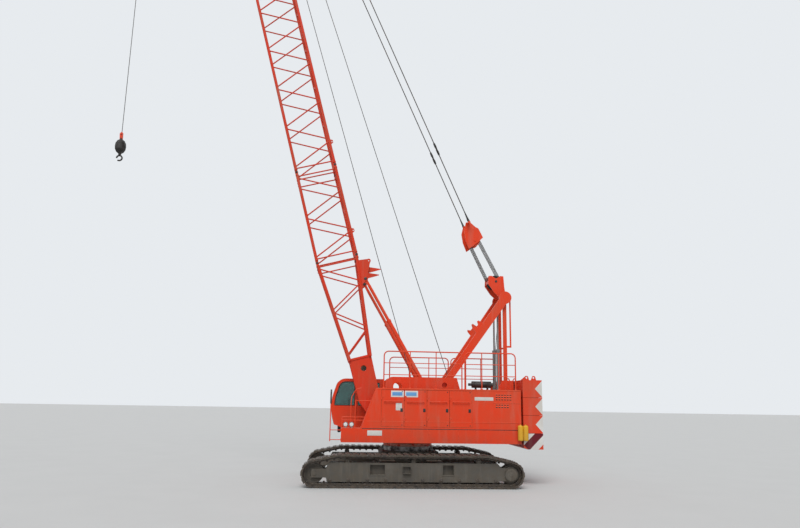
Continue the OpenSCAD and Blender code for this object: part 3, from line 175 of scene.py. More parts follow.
paints = {
    "red_paint": Values(
        colour=(0.76, 0.046, 0.008), faded=(0.64, 0.066, 0.022), dust=0.36, mudTop=1.75, mud=0.45,
        # edge: how strong the painted highlight along the rounded edges is; lipTop: top of the scuffed lip
        chips=0.5, rough=0.36, edge=0.55, lipTop=1.245),
    "boom_paint": Values(
        colour=(0.66, 0.034, 0.007), faded=(0.54, 0.056, 0.020), dust=0.30, mudTop=0.0, mud=0.0, chips=0.7,
        rough=0.42),
    "counterweight_paint": Values(
        colour=(0.74, 0.044, 0.010), faded=(0.60, 0.066, 0.026), dust=0.42, mudTop=1.6, mud=0.4, chips=0.6,
        rough=0.42),
    "muddy_frame": Values(
        colour=(0.080, 0.073, 0.063), faded=(0.120, 0.108, 0.090), dust=0.5, mudTop=1.3, mud=0.8,
        chips=0.35, rough=0.6),
    "white_paint": Values(
        colour=(0.70, 0.69, 0.66), faded=(0.58, 0.55, 0.50), dust=0.4, mudTop=1.6, mud=0.3, chips=0.3,
        rough=0.4),
    "maroon_paint": Values(
        colour=(0.13, 0.003, 0.012), faded=(0.11, 0.010, 0.016), dust=0.3, mudTop=1.6, mud=0.3, chips=0.3,
        rough=0.45),
    "blue_plate": Values(
        colour=(0.10, 0.30, 0.62), faded=(0.16, 0.38, 0.64), dust=0.2, mudTop=0.0, mud=0.0, chips=0.1,
        rough=0.35),
    "grey_cylinders": Values(
        colour=(0.26, 0.26, 0.25), faded=(0.20, 0.20, 0.19), dust=0.4, mudTop=0.0, mud=0.0, chips=0.3,
        rough=0.35),
    "yellow_plastic": Values(
        colour=(0.78, 0.40, 0.015), faded=(0.62, 0.36, 0.04), dust=0.3, mudTop=1.9, mud=0.4, chips=0.0,
        rough=0.5),
}

wear = Values(
    fadeNoise=(0.9, 0.38, 0.68),
    streakNoise=(5.0, 0.52, 0.80, (1, 1, 0.11)),
    streaks=0.22, dustNoise=(3.0, 0.25, 0.7),
    mudFade=1.1,  # how far under its top the mud is full
    # After the chips come the edge radius and the noise of the painted highlight along rounded edges
    mudNoise=(4.5, 0.40, 0.66), chipEdge=0.008, chipNoise=(9.0, 0.50, 0.60), thinEdge=0.03,
    thinNoise=(2.2, 0.30, 0.55), lipFade=0.02, scuffNoise=(5.5, 0.44, 0.54), scuffs=0.8,
    roughNoise=(7.0, 0.3, 0.7), roughSpan=0.16, dirtRough=0.9,
    shader={"Specular IOR Level": 0.26, "Coat Weight": 0.05, "Coat Roughness": 0.25},
    grainNoise=(38.0, 0.3, 0.7), grain=0.22,
    bump=(0.35, 0.004),  # strength and depth
)


def paintedSteel(name, look, wear):
    tree, shader = newFinish(name)
    colour = mixColour(noiseMask(tree, *wear.fadeNoise), look.colour, look.faded)
    streaks = times(noiseMask(tree, *wear.streakNoise), wear.streaks)
    colour = mixColour(streaks, colour, dustColour)
    level = spread(upward(trueNormal(tree)), *masks.dustSlope)
    dust = times(times(level, noiseMask(tree, *wear.dustNoise)), look.dust)
    colour = mixColour(dust, colour, dustColour)
    splash = heightMask(tree, look.mudTop, look.mudTop - wear.mudFade)
    mud = times(times(splash, noiseMask(tree, *wear.mudNoise)), look.mud)
    chips = times(edgeMask(tree, wear.chipEdge), noiseMask(tree, *wear.chipNoise))
    colour = mixColour(times(chips, look.chips), colour, bareColour)
    if "lipTop" in look:
        # Painted highlight: brighter red along the rounded edges, partly sun-faded paint
        edgeHighlight = times(edgeMask(tree, wear.thinEdge), noiseMask(tree, *wear.thinNoise))
        colour = mixColour(times(edgeHighlight, look.edge), colour, edgeHighlightColour)
        lip = heightMask(tree, look.lipTop, look.lipTop - wear.lipFade)
        scuffs = times(lip, noiseMask(tree, *wear.scuffNoise))
        colour = mixColour(times(scuffs, wear.scuffs), colour, scuffColour)
    colour = mixColour(mud, colour, mudColour)
    clean = spread(noiseMask(tree, *wear.roughNoise), 0, 1, look.rough, look.rough + wear.roughSpan)
    both = {0: largest(mud, dust), 2: clean, 3: wear.dirtRough}
    rough = addNode(tree, "ShaderNodeMix", both, data_type="FLOAT").outputs[0]
    feed(shader, {"Base Color": colour, "Roughness": rough, **wear.shader})
    grain = times(noiseMask(tree, *wear.grainNoise), wear.grain)
    addBump(shader, combine("ADD", grain, mud), *wear.bump)


trackLook = Values(
    colours=((0.050, 0.043, 0.038), (0.095, 0.070, 0.050)),
    colourNoise=(6.0, 0.35, 0.65), mudNoise=(3.2, 0.50, 0.64), mud=0.75,
    wornColour=(0.30, 0.28, 0.26), wornEdge=0.012, wornNoise=(12.0, 0.42, 0.56),
    rough=(0.48, 0.92),  # bare and under mud
    metal=0.35, grainNoise=(22.0, 0.3, 0.7), bump=(0.6, 0.012),
)


def trackSteel(name, look):
    tree, shader = newFinish(name)
    colour = mixColour(noiseMask(tree, *look.colourNoise), *look.colours)
    mud = noiseMask(tree, *look.mudNoise)
    colour = mixColour(times(mud, look.mud), colour, mudColour)
    worn = times(edgeMask(tree, look.wornEdge), noiseMask(tree, *look.wornNoise))
    feed(shader, {"Base Color": mixColour(worn, colour, look.wornColour), "Metallic": look.metal,
                  "Roughness": spread(mud, 0, 1, *look.rough)})
    addBump(shader, times(mud, noiseMask(tree, *look.grainNoise)), *look.bump)


ropeLook = Values(
    lay=("DIAGONAL", 26.0), distortion=0.3,
    colours=((0.030, 0.028, 0.027), (0.115, 0.108, 0.100)),
    rustNoise=(1.5, 0.5, 0.7), rust=0.5, rustColour=(0.11, 0.065, 0.04), rough=(0.62, 0.42),
    metal=0.5, bump=(0.7, 0.003),
)


def wireRope(name, look):
    tree, shader = newFinish(name)
    lay = waveMask(tree, *look.lay, Distortion=look.distortion)
    rust = times(noiseMask(tree, *look.rustNoise), look.rust)
    colour = mixColour(rust, mixColour(lay, *look.colours), look.rustColour)
    feed(shader, {"Base Color": colour, "Roughness": spread(lay, 0, 1, *look.rough), "Metallic": look.metal})
    addBump(shader, lay, *look.bump)


postLook = Values(
    colours=(paints["red_paint"].colour, (0.020, 0.020, 0.022)),  # the post, the mirror over it
    border=(2.50, 2.51), dustNoise=(14.0, 0.45, 0.7), dust=0.35, rough=(0.4, 0.7),
    grainNoise=(50.0, 0.3, 0.7), bump=(0.15, 0.001),
)


def twoTone(name, look):
    tree, shader = newFinish(name)
    dust = noiseMask(tree, *look.dustNoise)
    colour = mixColour(heightMask(tree, *look.border), *look.colours)
    feed(shader, {"Base Color": mixColour(times(dust, look.dust), colour, dustColour),
                  "Roughness": spread(dust, 0, 1, *look.rough)})
    addBump(shader, noiseMask(tree, *look.grainNoise), *look.bump)


def greasy(colour, metal, rough):
    return {"noise": (5.0, 0.42, 0.62), "colours": (colour, (0.025, 0.022, 0.020)),
            "rough": (rough, rough + 0.25), "shader": {"Metallic": metal},
            "grainNoise": (60.0, 0.3, 0.7), "bump": (0.18, 0.002)}


# Two colours mixed by the noise, or by waves where there are any; the noise sets the roughness
plainLooks = {
    "machined_steel": greasy((0.26, 0.25, 0.24), 0.8, 0.36),
    "dark_castings": greasy((0.055, 0.052, 0.050), 0.5, 0.45),
    "mirror_glass": greasy((0.72, 0.75, 0.78), 1.0, 0.04),
    "rusty_steel": greasy((0.17, 0.085, 0.035), 0.1, 0.7),
    "cab_glazing": {"noise": (3.0, 0.45, 0.75), "colours": ((0.20, 0.34, 0.32), (0.18, 0.25, 0.24)),
                    "rough": (0.02, 0.16), "shader": {"Transmission Weight": 0.93, "IOR": 1.45}},
    "black_rubber": {"noise": (4.0, 0.45, 0.75), "share": 0.4, "rough": (0.5, 0.85),
                     "colours": ((0.014, 0.014, 0.015), (0.12, 0.105, 0.085)),
                     "grainNoise": (80.0, 0.3, 0.7), "bump": (0.15, 0.001)},
    "seat_cloth": {"noise": (6.0, 0.3, 0.7), "waves": [("Y", 90.0), ("Z", 90.0)], "rough": (0.78, 0.95),
                   "colours": ((0.016, 0.016, 0.018), (0.045, 0.045, 0.050)),
                   "shader": {"Sheen Weight": 0.35}, "bump": (0.35, 0.001)},
    "lamp_glass": {"noise": (8.0, 0.3, 0.7), "waves": [("Z", 22.0)], "rough": (0.08, 0.25),
                   "colours": ((0.62, 0.62, 0.60), (0.82, 0.82, 0.80)),
                   "shader": {"Coat Weight": 0.8}, "bump": (0.3, 0.002)},
}


def plainFinish(name, look):
    tree, shader = newFinish(name)
    noise = noiseMask(tree, *look.noise)
    waves = [waveMask(tree, *wave) for wave in look.get("waves", ())]
    mask = largest(*waves) if len(waves) > 1 else (waves or [noise])[0]
    share = times(mask, look.share) if "share" in look else mask
    feed(shader, {"Base Color": mixColour(share, *look.colours),
                  "Roughness": spread(noise, 0, 1, *look.rough), **look.get("shader", {})})
    if "bump" in look:
        height = noiseMask(tree, *look.grainNoise) if "grainNoise" in look else mask
        addBump(shader, height, *look.bump)


for name, look in paints.items():
    paintedSteel(name, look, wear)
for name, look in plainLooks.items():
    plainFinish(name, Values(look))
trackSteel("track_steel", trackLook)
wireRope("wire_rope", ropeLook)
twoTone("mirror_post", postLook)
finishes["lamp_housings"] = finishes["white_paint"]
finishes["canister_paint"] = finishes["yellow_plastic"]

for part in frame["record"]["subparts"]:
    mesh = nodes[part["node"]].data
    mesh.materials.clear()
    mesh.materials.append(finishes["mirror_post" if part["node"] == "mirror_post" else part["material_slot"]])
print("Finishes made:", len(finishes))


# Mesh helpers: each adds to a bmesh, and makePiece turns it into an object on a body

smoothAngle = math.radians(35)
blockBevel = {"segments": 2, "affect": "EDGES", "profile": 0.6}
usualSlots = {"black_rubber": "dark_castings", "mirror_glass": "dark_castings", "lamp_glass": "lamp_housings",
              "rusty_steel": "boom_paint", "white_paint": "red_paint", "blue_plate": "red_paint"}


def makeObject(name, shape, finish):
    mesh = bpy.data.meshes.new(name)
    bmesh.ops.recalc_face_normals(shape, faces=shape.faces)
    shape.to_mesh(mesh)
    shape.free()
    mesh.materials.append(finishes[finish])
    mesh.shade_smooth()
    mesh.set_sharp_from_angle(angle=smoothAngle)
    made = bpy.data.objects.new(name, mesh)
    bpy.context.collection.objects.link(made)
    return made


def makePiece(name, shape, finish, body=None, slot=None):
    piece = makeObject(name, shape, finish)
    slot = slot or usualSlots.get(finish, finish)
    if body:
        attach(piece, body)
    return piece


def circle(centre, side, other, radius, count, turn=0.0):
    angles = [turn + math.tau * k / count for k in range(count)]
    return [centre + radius * (side * math.cos(a) + other * math.sin(a)) for a in angles]


def ringAround(centre, along, radius, count, turn=0.0):
    side = along.orthogonal().normalized()
    return circle(centre, side, along.cross(side).normalized(), radius, count, turn)


def addSkin(shape, rings, closed=False):
    rings = [[shape.verts.new(point) for point in ring] for ring in rings]
    for first, second in zip(rings, rings[1:] + rings[:1] if closed else rings[1:]):
        for j in range(len(first)):
            after = (j + 1) % len(first)
            shape.faces.new((first[j], first[after], second[after], second[j]))
    if not closed:
        shape.faces.new(rings[0])
        shape.faces.new(rings[-1][::-1])


def addTube(shape, points, radius, sides=8, closed=False):
    points = [Vector(p) for p in points]
    count = len(points)
    rings, side = [], None
    for k, point in enumerate(points):
        before = points[k - 1] if k or closed else point
        after = points[(k + 1) % count] if k < count - 1 or closed else point
        along = (after - before).normalized()
        side = side - along * side.dot(along) if side else along.orthogonal()
        side.normalize()
        rings.append(circle(point, side, along.cross(side), radius, sides))
    addSkin(shape, rings, closed)


def addBlock(shape, corner, other, bevel=0.0):
    corner, other = Vector(corner), Vector(other)
    made = bmesh.ops.create_cube(shape, size=1.0)["verts"]
    bmesh.ops.scale(shape, vec=Vector([abs(c) for c in other - corner]), verts=made)
    bmesh.ops.translate(shape, vec=(corner + other) / 2, verts=made)
    if bevel:
        edges = list({edge for vert in made for edge in vert.link_edges})
        bmesh.ops.bevel(shape, geom=edges, offset=bevel, **blockBevel)


def addLathe(shape, place, along, profile, segments):
    along = Vector(along).normalized()
    place = Vector(place)
    addSkin(shape, [ringAround(place + along * travel, along, radius, segments)
                    for radius, travel in profile])


def addSheet(shape, outline, thickness):
    outline = [Vector(p) for p in outline]
    normal = (outline[1] - outline[0]).cross(outline[2] - outline[0]).normalized()
    addSkin(shape, [[p + normal * thickness for p in outline], outline])


def addParts(shape, parts, shift):
    # Blocks are two corners and a bevel, rods are points and a size, turned ones are place, way and form
    for corner, other, bevel in parts.get("blocks", ()):
        addBlock(shape, shift + Vector(corner), shift + Vector(other), bevel)
    for points, *size in parts.get("rods", ()):
        addTube(shape, [shift + Vector(p) for p in points], *size)
    for place, *form in parts.get("turned", ()):
        addLathe(shape, shift + Vector(place), *form)


def makeParts(name, finish, body, *groups):
    shape = bmesh.new()
    for group in groups:
        for y in group.get("ys", (0,)):
            addParts(shape, group, Vector((0, y, 0)))
    makePiece(name, shape, finish, body)


# The boom's own directions, from its foot pin to its head axle

footPin = Vector(joints["boom_luff"]["pos_m"])
headPin = Vector(joints["hook_swing"]["pos_m"])
boomWay = (headPin - footPin).normalized()
boomRear = Vector((-boomWay.z, 0, boomWay.x))


def onBoom(along, side, rear):
    return footPin + boomWay * along + Vector((0, side, 0)) + boomRear * rear


# Ropes

falls = Values(
    ropeRadius=0.011, count=5, spacing=0.1,
    gantry=(-3.09, 6.89),  # X and Z of the A-frame's sheaves
    gantryRadius=0.212, bridleAlong=5.19, bridleRear=5.03, bridleRadius=0.182,
)


def stretchedRopes(name, runs, radius):
    shape = bmesh.new()
    for start, end in runs:
        addTube(shape, [start, end], radius)
    rope = makePiece(name, shape, "wire_rope")
    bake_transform(rope)
    return rope


def makeFalls(look):
    gantry = Vector((look.gantry[0], 0, look.gantry[1]))
    bridle = onBoom(look.bridleAlong, 0, look.bridleRear)
    way = (bridle - gantry).normalized()
    square = Vector((-way.z, 0, way.x))
    runs = []
    for k in range(look.count):
        side = Vector((0, (k - (look.count - 1) / 2) * look.spacing, 0))
        for turn in (-1, 1):
            runs.append((gantry + side + square * turn * look.gantryRadius,
                         bridle + side + square * turn * look.bridleRadius))
    stretchedRopes("luffing_falls", runs, look.ropeRadius)


drums = Values(
    places=[(-0.12, 2.60, 0.23), (-1.45, 2.60, 0.23), (-2.70, 2.45, 0.20)],  # X, Z, radius
    half=0.375, pitch=0.027, ropeRadius=0.013, sides=6, stepsPerTurn=28,
)


def makeWindings(look):
    steps = look.stepsPerTurn
    for number, (x, z, radius) in enumerate(look.places, 1):
        shape = bmesh.new()
        reach = radius + look.ropeRadius
        points = []
        for k in range(int(2 * look.half / look.pitch * steps) + 1):
            angle = math.tau * k / steps
            points.append((x + reach * math.cos(angle), -look.half + look.pitch * k / steps,
                           z + reach * math.sin(angle)))
        addTube(shape, points, look.ropeRadius, look.sides)
        makePiece("drum_winding_%d" % number, shape, "wire_rope", "upper")


hoistLines = Values(
    ropeRadius=0.012,
    drumEnds=[(-0.34, -0.12, 2.64), (-1.67, 0.14, 2.64)],
    headAlong=34.70, headRear=0.6525,
)


def makeHoistLines(look):
    runs = [(Vector(end), onBoom(look.headAlong, end[1], look.headRear)) for end in look.drumEnds]
    stretchedRopes("hoist_lines", runs, look.ropeRadius)


def makeHookLine():
    # Stretches between the boom's head and the hook, so it stands for the straight rope of the frame
    low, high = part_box("hoist_rope")
    middle, radius = (low + high) / 2, (high.x - low.x) / 2
    line = stretchedRopes("hook_line", [(Vector((middle.x, 0, high.z)), Vector((middle.x, 0, low.z)))],
                          radius)
    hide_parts("hoist_rope")


# From the third drum, up behind the A-frame's sheaves
luffingRope = {"rods": [([(-2.912, 0.10, 2.431), (-3.309, 0.10, 6.871)], falls.ropeRadius)]}

makeFalls(falls)
makeHookLine()
makeWindings(drums)
makeHoistLines(hoistLines)
makeParts("luffing_rope", "wire_rope", "upper", luffingRope)
print("Ropes made")


# Sides of the houses and of the counterweight, which lie in one plane

houseSide = 1.6


def onSide(x, z, side, lift=0.0):
    return x, side * (houseSide + lift), z


def sideBlock(shape, x, z, side, thickness, bevel=0.0, lift=0.0):
    addBlock(shape, onSide(x[0], z[0], side, lift), onSide(x[1], z[1], side, lift + thickness), bevel)


def sideSheet(shape, points, thickness, side):
    corners = [onSide(x, z, side) for x, z in points]
    addSheet(shape, corners if side < 0 else corners[::-1], thickness)


# Counterweight marks

marks = Values(
    proud=0.003, triangleDepth=0.24, triangleInset=0.02, slabs=3, slabFoot=0.0075, slabHeight=0.565,
    # by way back and down from the base's upper front corner
    bands=[(0.0, 0.367, "white"), (0.70, 0.98, "white"), (0.367, 0.70, "maroon")],
    cut=0.14,  # the base's cut lower corner
)


def clipOutline(outline, corner, limit, beyond):
    # Keeps what lies beyond, or short of, a slanting line, by its way back and down from the corner
    kept = []
    for first, second in zip(outline, outline[1:] + outline[:1]):
        a, b = (beyond * (sum(corner - point) - limit) for point in (first, second))
        if a >= 0:
            kept.append(first)
        if (a > 0 > b) or (a < 0 < b):
            kept.append(first.lerp(second, a / (a - b)))
    return kept


def makeMarks(look):
    shapes = {"white": bmesh.new(), "maroon": bmesh.new()}
    sheets = []
    for k in range(look.slabs):
        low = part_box("counterweight_slab_%d" % (k + 1))[0]
        foot = low.z + look.slabFoot
        top = foot + look.slabHeight
        tip = (low.x + look.triangleDepth, (foot + top) / 2)
        sheets.append(("white", [(low.x, foot + look.triangleInset), tip, (low.x, top - look.triangleInset)]))
    low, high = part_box("counterweight_base")
    corner = Vector((high.x, high.z))
    base = [Vector(p) for p in ((low.x, low.z), (high.x - look.cut, low.z), (high.x, low.z + look.cut),
                                corner, (low.x, high.z))]
    for first, last, colour in look.bands:
        sheets.append((colour, clipOutline(clipOutline(base, corner, first, 1), corner, last, -1)))
    for colour, points in sheets:
        for side in (-1, 1):
            sideSheet(shapes[colour], points, look.proud, side)
    for colour, shape in shapes.items():
        makePiece("counterweight_%s_marks" % colour, shape, colour + "_paint", "upper", "counterweight_paint")


makeMarks(marks)
print("Counterweight marks made")


# Bolts and covers

boltProfile = [(1.3, 0), (1.3, 0.2), (1, 0.22), (1, 0.75), (0.8, 0.92)]  # washer and head, times the size


def addBolt(shape, place, outward, size):
    addLathe(shape, place, outward, [(radius * size, height * size) for radius, height in boltProfile], 6)


def addCover(shape, place, outward, profile, segments, bolts):
    # The bolts: their height on the cover, ring's radius, count, size and turn
    addLathe(shape, place, outward, profile, segments)
    lift, radius, count, size, turn = bolts
    outward = Vector(outward)
    for spot in ringAround(Vector(place) + outward * lift, outward, radius, count, turn):
        addBolt(shape, spot, outward, size)


# Running gear: hub covers, roller ends, link pins and shoe bolts

runningGear = Values(
    trackY=1.97, wheelX=3.05, wheelZ=0.42, idlerFace=0.15, driveFace=0.30, frameFace=0.24,
    idlerCover=([(0.215, 0), (0.215, 0.010), (0.195, 0.018), (0.135, 0.018), (0.118, 0.045), (0.080, 0.060),
                 (0.055, 0.060)], 32, (0.018, 0.165, 10, 0.012, 0)),
    driveCover=([(0.172, 0), (0.172, 0.010), (0.150, 0.016), (0.060, 0.016), (0.050, 0.028),
                 (0.001, 0.030)], 32, (0.016, 0.128, 14, 0.010, 0)),
    rollers=10, rollerReach=2.5725, rollerZ=0.2353,
    rollerCap=([(0.056, 0), (0.056, 0.012), (0.040, 0.016), (0.018, 0.016), (0.018, 0.024),
                (0.006, 0.026)], 16),
)

belt = Values(
    kneeX=2.30,  # where the upper run starts to fall towards the wheels
    radius=0.372, top=0.957, shoes=64,
    boltShares=(0.22, 0.52),  # of a shoe's pitch
    boltSides=(-0.115, 0.115), boltSize=0.013,
    boltsOver=0.1,  # none on the shoes that stand on the ground
    padTop=0.048, pinShare=0.97, pinDepth=0.045, linkHalf=0.21,
    pin=([(0.024, 0), (0.024, 0.008), (0.018, 0.012)], 10),
)


def makeRunningGear(look):
    covers, steelEnds = bmesh.new(), bmesh.new()
    x, z = look.wheelX, look.wheelZ
    for side in (-1, 1):
        middle = side * look.trackY
        for face in (-1, 1):
            addCover(covers, (x, middle + face * look.idlerFace, z), (0, face, 0), *look.idlerCover)
            for k in range(look.rollers):
                rollerX = look.rollerReach * (2 * k / (look.rollers - 1) - 1)
                place = (rollerX, middle + face * look.frameFace, look.rollerZ)
                addLathe(steelEnds, place, (0, face, 0), *look.rollerCap)
        addCover(covers, (-x, middle + side * look.driveFace, z), (0, side, 0), *look.driveCover)
    makePiece("hub_covers", covers, "muddy_frame", "undercarriage")
    makePiece("roller_caps", steelEnds, "track_steel", "undercarriage")


def beltLegs(look, gear):
    # How far the belt wraps each wheel, and the lengths of its six legs from the rear of the ground run
    rise, run = look.top - gear.wheelZ, gear.wheelX - look.kneeX
    reach = math.hypot(rise, run)
    wrap = math.pi - math.atan2(rise, run) - math.acos(look.radius / reach)
    bend, slope = look.radius * (wrap + math.pi / 2), math.sqrt(reach ** 2 - look.radius ** 2)
    return wrap, [2 * gear.wheelX, bend, slope, 2 * look.kneeX, slope, bend]


def beltPoint(look, gear, travel):
    # A place on the belt and the way out from it
    wrap, legs = beltLegs(look, gear)
    travel %= sum(legs)
    leg = 0
    while travel > legs[leg]:
        travel -= legs[leg]
        leg += 1
    radius, wheelX, down = look.radius, gear.wheelX, -math.pi / 2
    angle, centre, run = [(down, -wheelX, travel), (travel / radius + down, wheelX, 0),
                          (wrap, wheelX, travel), (-down, 0, 0),
                          (math.pi - wrap, -wheelX, travel - legs[leg]),
                          (math.pi - wrap + travel / radius, -wheelX, 0)][leg]
    outward = Vector((math.cos(angle), 0, math.sin(angle)))
    if leg == 3:
        return Vector((look.kneeX - travel, 0, look.top)), outward
    along = Vector((-outward.z, 0, outward.x))
    return Vector((centre, 0, gear.wheelZ)) + outward * radius + along * run, outward


def makeBeltDetails(look, gear):
    shape = bmesh.new()
    pitch = sum(beltLegs(look, gear)[1]) / look.shoes
    for side in (-1, 1):
        middle = Vector((0, side * gear.trackY, 0))
        for k in range(look.shoes):
            for share in look.boltShares:
                place, outward = beltPoint(look, gear, (k + share) * pitch)
                if place.z > look.boltsOver:
                    for y in look.boltSides:
                        spot = place + outward * look.padTop + middle + Vector((0, y, 0))
                        addBolt(shape, spot, outward, look.boltSize)
            place, outward = beltPoint(look, gear, (k + look.pinShare) * pitch)
            for face in (-1, 1):
                spot = place - outward * look.pinDepth + middle + Vector((0, face * look.linkHalf, 0))
                addLathe(shape, spot, (0, face, 0), *look.pin)
    makePiece("shoe_bolts_and_link_pins", shape, "track_steel", "undercarriage")


makeRunningGear(runningGear)
makeBeltDetails(belt, runningGear)
print("Running gear fitted")


# House sides: plates without lettering, latches, beads, louvre hoods and bolts

stud = ([(0.016, 0), (0.016, 0.005), (0.010, 0.007)], 14)

doors = Values(
    bodies=[("door_left_1", 0, 1), ("door_left_2", 1, 1), ("door_left_3", 2, 1), ("door_left_4", 3, 1),
            ("door_right_1", 2, -1), ("door_right_2", 3, -1)],  # name, place from the front, side
    front=1.010, width=0.742, gap=0.008,
    latch=[((0.035, 0.115), (2.285, 2.395), 0.006, 0), ((0.048, 0.102), (2.304, 2.358), 0.010, 0.006)],
    latchBevel=0.003,
    discs=[(0.075, 2.376, 0.006, [(0.014, 0), (0.014, 0.008), (0.009, 0.011)], 16),
           (0.06, 2.93, 0, *stud), (0.06, 1.87, 0, *stud)],  # keyhole, then studs
    bead=(0.012, (1.97, 1.986), 0.005, 0.002),  # inset, Z, thickness, bevel
    hingeBolts=[(shift, z) for z in (2.090, 2.760) for shift in (0.026, 0.056)],
    hingeLift=0.006, boltSize=0.007,
)


def makeDoorFittings(look):
    for body, number, side in look.bodies:
        front = look.front - number * look.width - look.gap
        rear = front - look.width + 2 * look.gap
        dark, red = bmesh.new(), bmesh.new()
        for (x0, x1), z, thickness, lift in look.latch:
            sideBlock(dark, (rear + x0, rear + x1), z, side, thickness, look.latchBevel, lift)
        for x, z, lift, *form in look.discs:
            addLathe(dark, onSide(rear + x, z, side, lift), (0, side, 0), *form)
        inset, z, thickness, bevel = look.bead
        sideBlock(red, (rear + inset, front - inset), z, side, thickness, bevel)
        for shift, z in look.hingeBolts:
            addBolt(red, onSide(front - shift, z, side, look.hingeLift), (0, side, 0), look.boltSize)
        makePiece(body + "_latches", dark, "black_rubber", body)
        makePiece(body + "_bead", red, "red_paint", body)


houses = Values(
    louvreFields=[(2.850, 3, 6), (2.530, 2, 5)],  # foot of the top row, rows, columns
    louvreX=-2.74, louvrePitch=(0.092, 0.076), louvreSize=(0.062, 0.046),
    hood=[(0.0, 0.050), (0.008, 0.040), (0.008, 0.03036), (-0.002, 0.0437)],  # out and up
    screen=(0.001, 0.004, -0.012),  # dark sheet behind each hood for the shade in its opening, a painted shade: inset, thickness, how far out
    redStrips=[  # sides, X, Z, thickness, bevel
        ((1,), (-3.575, 1.17), (3.000, 3.034), 0.008, 0.002),
        ((-1,), (-3.575, 0.615), (3.000, 3.034), 0.008, 0.002),
        ((-1, 1), (-3.570, -2.00), (1.97, 1.992), 0.009, 0.003),
        ((-1, 1), (-3.570, -2.66), (2.60, 2.622), 0.009, 0.003),
        ((1,), (1.03, 1.47), (1.97, 1.986), 0.005, 0.002)],
    # Black strips along the deck's seam: a painted shadow under the house's ledge
    blackStrips=[((1,), (-3.57, 1.62), (1.741, 1.759), 0.004, 0.001),
                 ((-1,), (-3.57, 0.60), (1.741, 1.759), 0.004, 0.001)],
    seams=[1.795, 1.475, 0.59, 0.03, -0.54, -0.97, -1.5, -2.07, -3.0],
    boltsFromSeam=(-0.035, 0.035), boltHeights=(1.355, 1.70), boltSize=0.009,
    rightBoltsBehind=0.55,  # the cab stands in front of it
)


def makeLouvres(red, dark, look, side):
    wide, high = look.louvreSize
    inset, thickness, lift = look.screen
    for top, rows, columns in look.louvreFields:
        for row in range(rows):
            for column in range(columns):
                x = look.louvreX - column * look.louvrePitch[0]
                z = top - row * look.louvrePitch[1]
                addSheet(red, [onSide(x, z + up, side, out) for out, up in look.hood], side * wide)
                # A dark sheet behind each hood: painted shade inside the louvre opening
                screen = (x - wide + inset, x - inset), (z + inset, z + high - inset)
                sideBlock(dark, *screen, side, thickness, 0.0, lift)


def makeHouseSides(look):
    red, dark, paintedShadow = bmesh.new(), bmesh.new(), bmesh.new()
    for side in (-1, 1):
        makeLouvres(red, dark, look, side)
        for seam in look.seams:
            for x in (seam + shift for shift in look.boltsFromSeam):
                if side > 0 or x < look.rightBoltsBehind:
                    for z in look.boltHeights:
                        addBolt(red, onSide(x, z, side), (0, side, 0), look.boltSize)
    for shape, rows in ((red, look.redStrips), (paintedShadow, look.blackStrips)):
        for sides, x, z, thickness, bevel in rows:
            for side in sides:
                sideBlock(shape, x, z, side, thickness, bevel)
    makePiece("house_beads_and_bolts", red, "red_paint", "upper")
    # Painted shade: the dark sheets behind the louvre hoods
    makePiece("louvre_painted_shade", dark, "dark_castings", "upper")
    # Painted shadow: black strips where the ledge over the deck's seam casts its shade
    makePiece("deck_painted_shadow_strips", paintedShadow, "black_rubber", "upper")


# Thickness, bevel, how far out, finish, then the X, Z and body of each
plates = {
    "blank_panel": (0.002, 0.0005, 0.003, "blue_plate", [
        ((0.330, 0.660), (2.795, 2.910), "door_left_1"), ((-0.130, 0.210), (2.795, 2.910), "door_left_2")]),
    "blank_plate": (0.003, 0.001, 0.0, "white_paint", [
        ((0.284, 0.700), (2.75, 2.955), "door_left_1"), ((-0.180, 0.248), (2.75, 2.955), "door_left_2"),
        ((0.340, 0.540), (2.33, 2.56), "door_left_1"), ((-2.66, -2.04), (2.68, 2.79), "upper"),
        ((0.970, 1.440), (1.53, 1.69), "upper")]),
}


def makePlates(look):
    for name, (thickness, bevel, lift, finish, places) in look.items():
        for number, (x, z, body) in enumerate(places, 1):
            shape = bmesh.new()
            sideBlock(shape, x, z, 1, thickness, bevel, lift)
            makePiece("%s_%d" % (name, number), shape, finish, body)


makeDoorFittings(doors)
makeHouseSides(houses)
makePlates(plates)
print("House sides fitted")


# Rail feet, front grab rail, lamp lenses and mirror glass

railFeet = Values(
    bays=[(-1.64, 0.94, 1), (-3.44, -1.74, 1), (-1.64, 0.56, -1), (-3.44, -1.74, -1)],  # X from and to, side
    posts=4, y=1.5, roof=3.0303,
    foot=([(0.046, 0), (0.046, 0.008), (0.026, 0.010), (0.024, 0.030), (0.021, 0.034)], 20,
          (0.008, 0.036, 4, 0.006, 0.6)),
)


def makeRailFeet(look):
    shape = bmesh.new()
    for x0, x1, side in look.bays:
        for k in range(look.posts):
            place = (x0 + (x1 - x0) * k / (look.posts - 1), side * look.y, look.roof)
            addCover(shape, place, (0, 0, 1), *look.foot)
    makePiece("rail_feet", shape, "red_paint", "upper")


deckRail = {
    "ys": (1.36,),
    "rods": [([(1.66, 0, 3.02), (1.80, 0, 2.99), (1.88, 0, 2.89), (1.96, 0, 2.75), (1.98, 0, 2.56),
               (1.98, 0, 2.20), (1.98, 0, 1.755)], 0.014, 10)],
    "turned": [((1.98, 0, 1.750), (0, 0, 1), [(0.034, 0), (0.034, 0.008), (0.018, 0.010)], 16)],
}

lenses = Values(
    lamps=[(2.140, 1.558, 1.865), (1.950, 1.558, 1.865)],
    lens=([(0.060, -0.006), (0.060, 0.003), (0.045, 0.008), (0.001, 0.011)], 28),
    rimDepth=0.004, rim=(0.068, 28), rimThickness=0.006,
    mirror=(2.605, 1.56, 0.088),  # X, Y and radius
    mirrorZ=(2.62, 2.86),  # centres of its lower and upper half circle
    mirrorCorners=32, mirrorThickness=0.003,
    mirrorTurn=0.001,  # keeps corners off the line between the halves
)


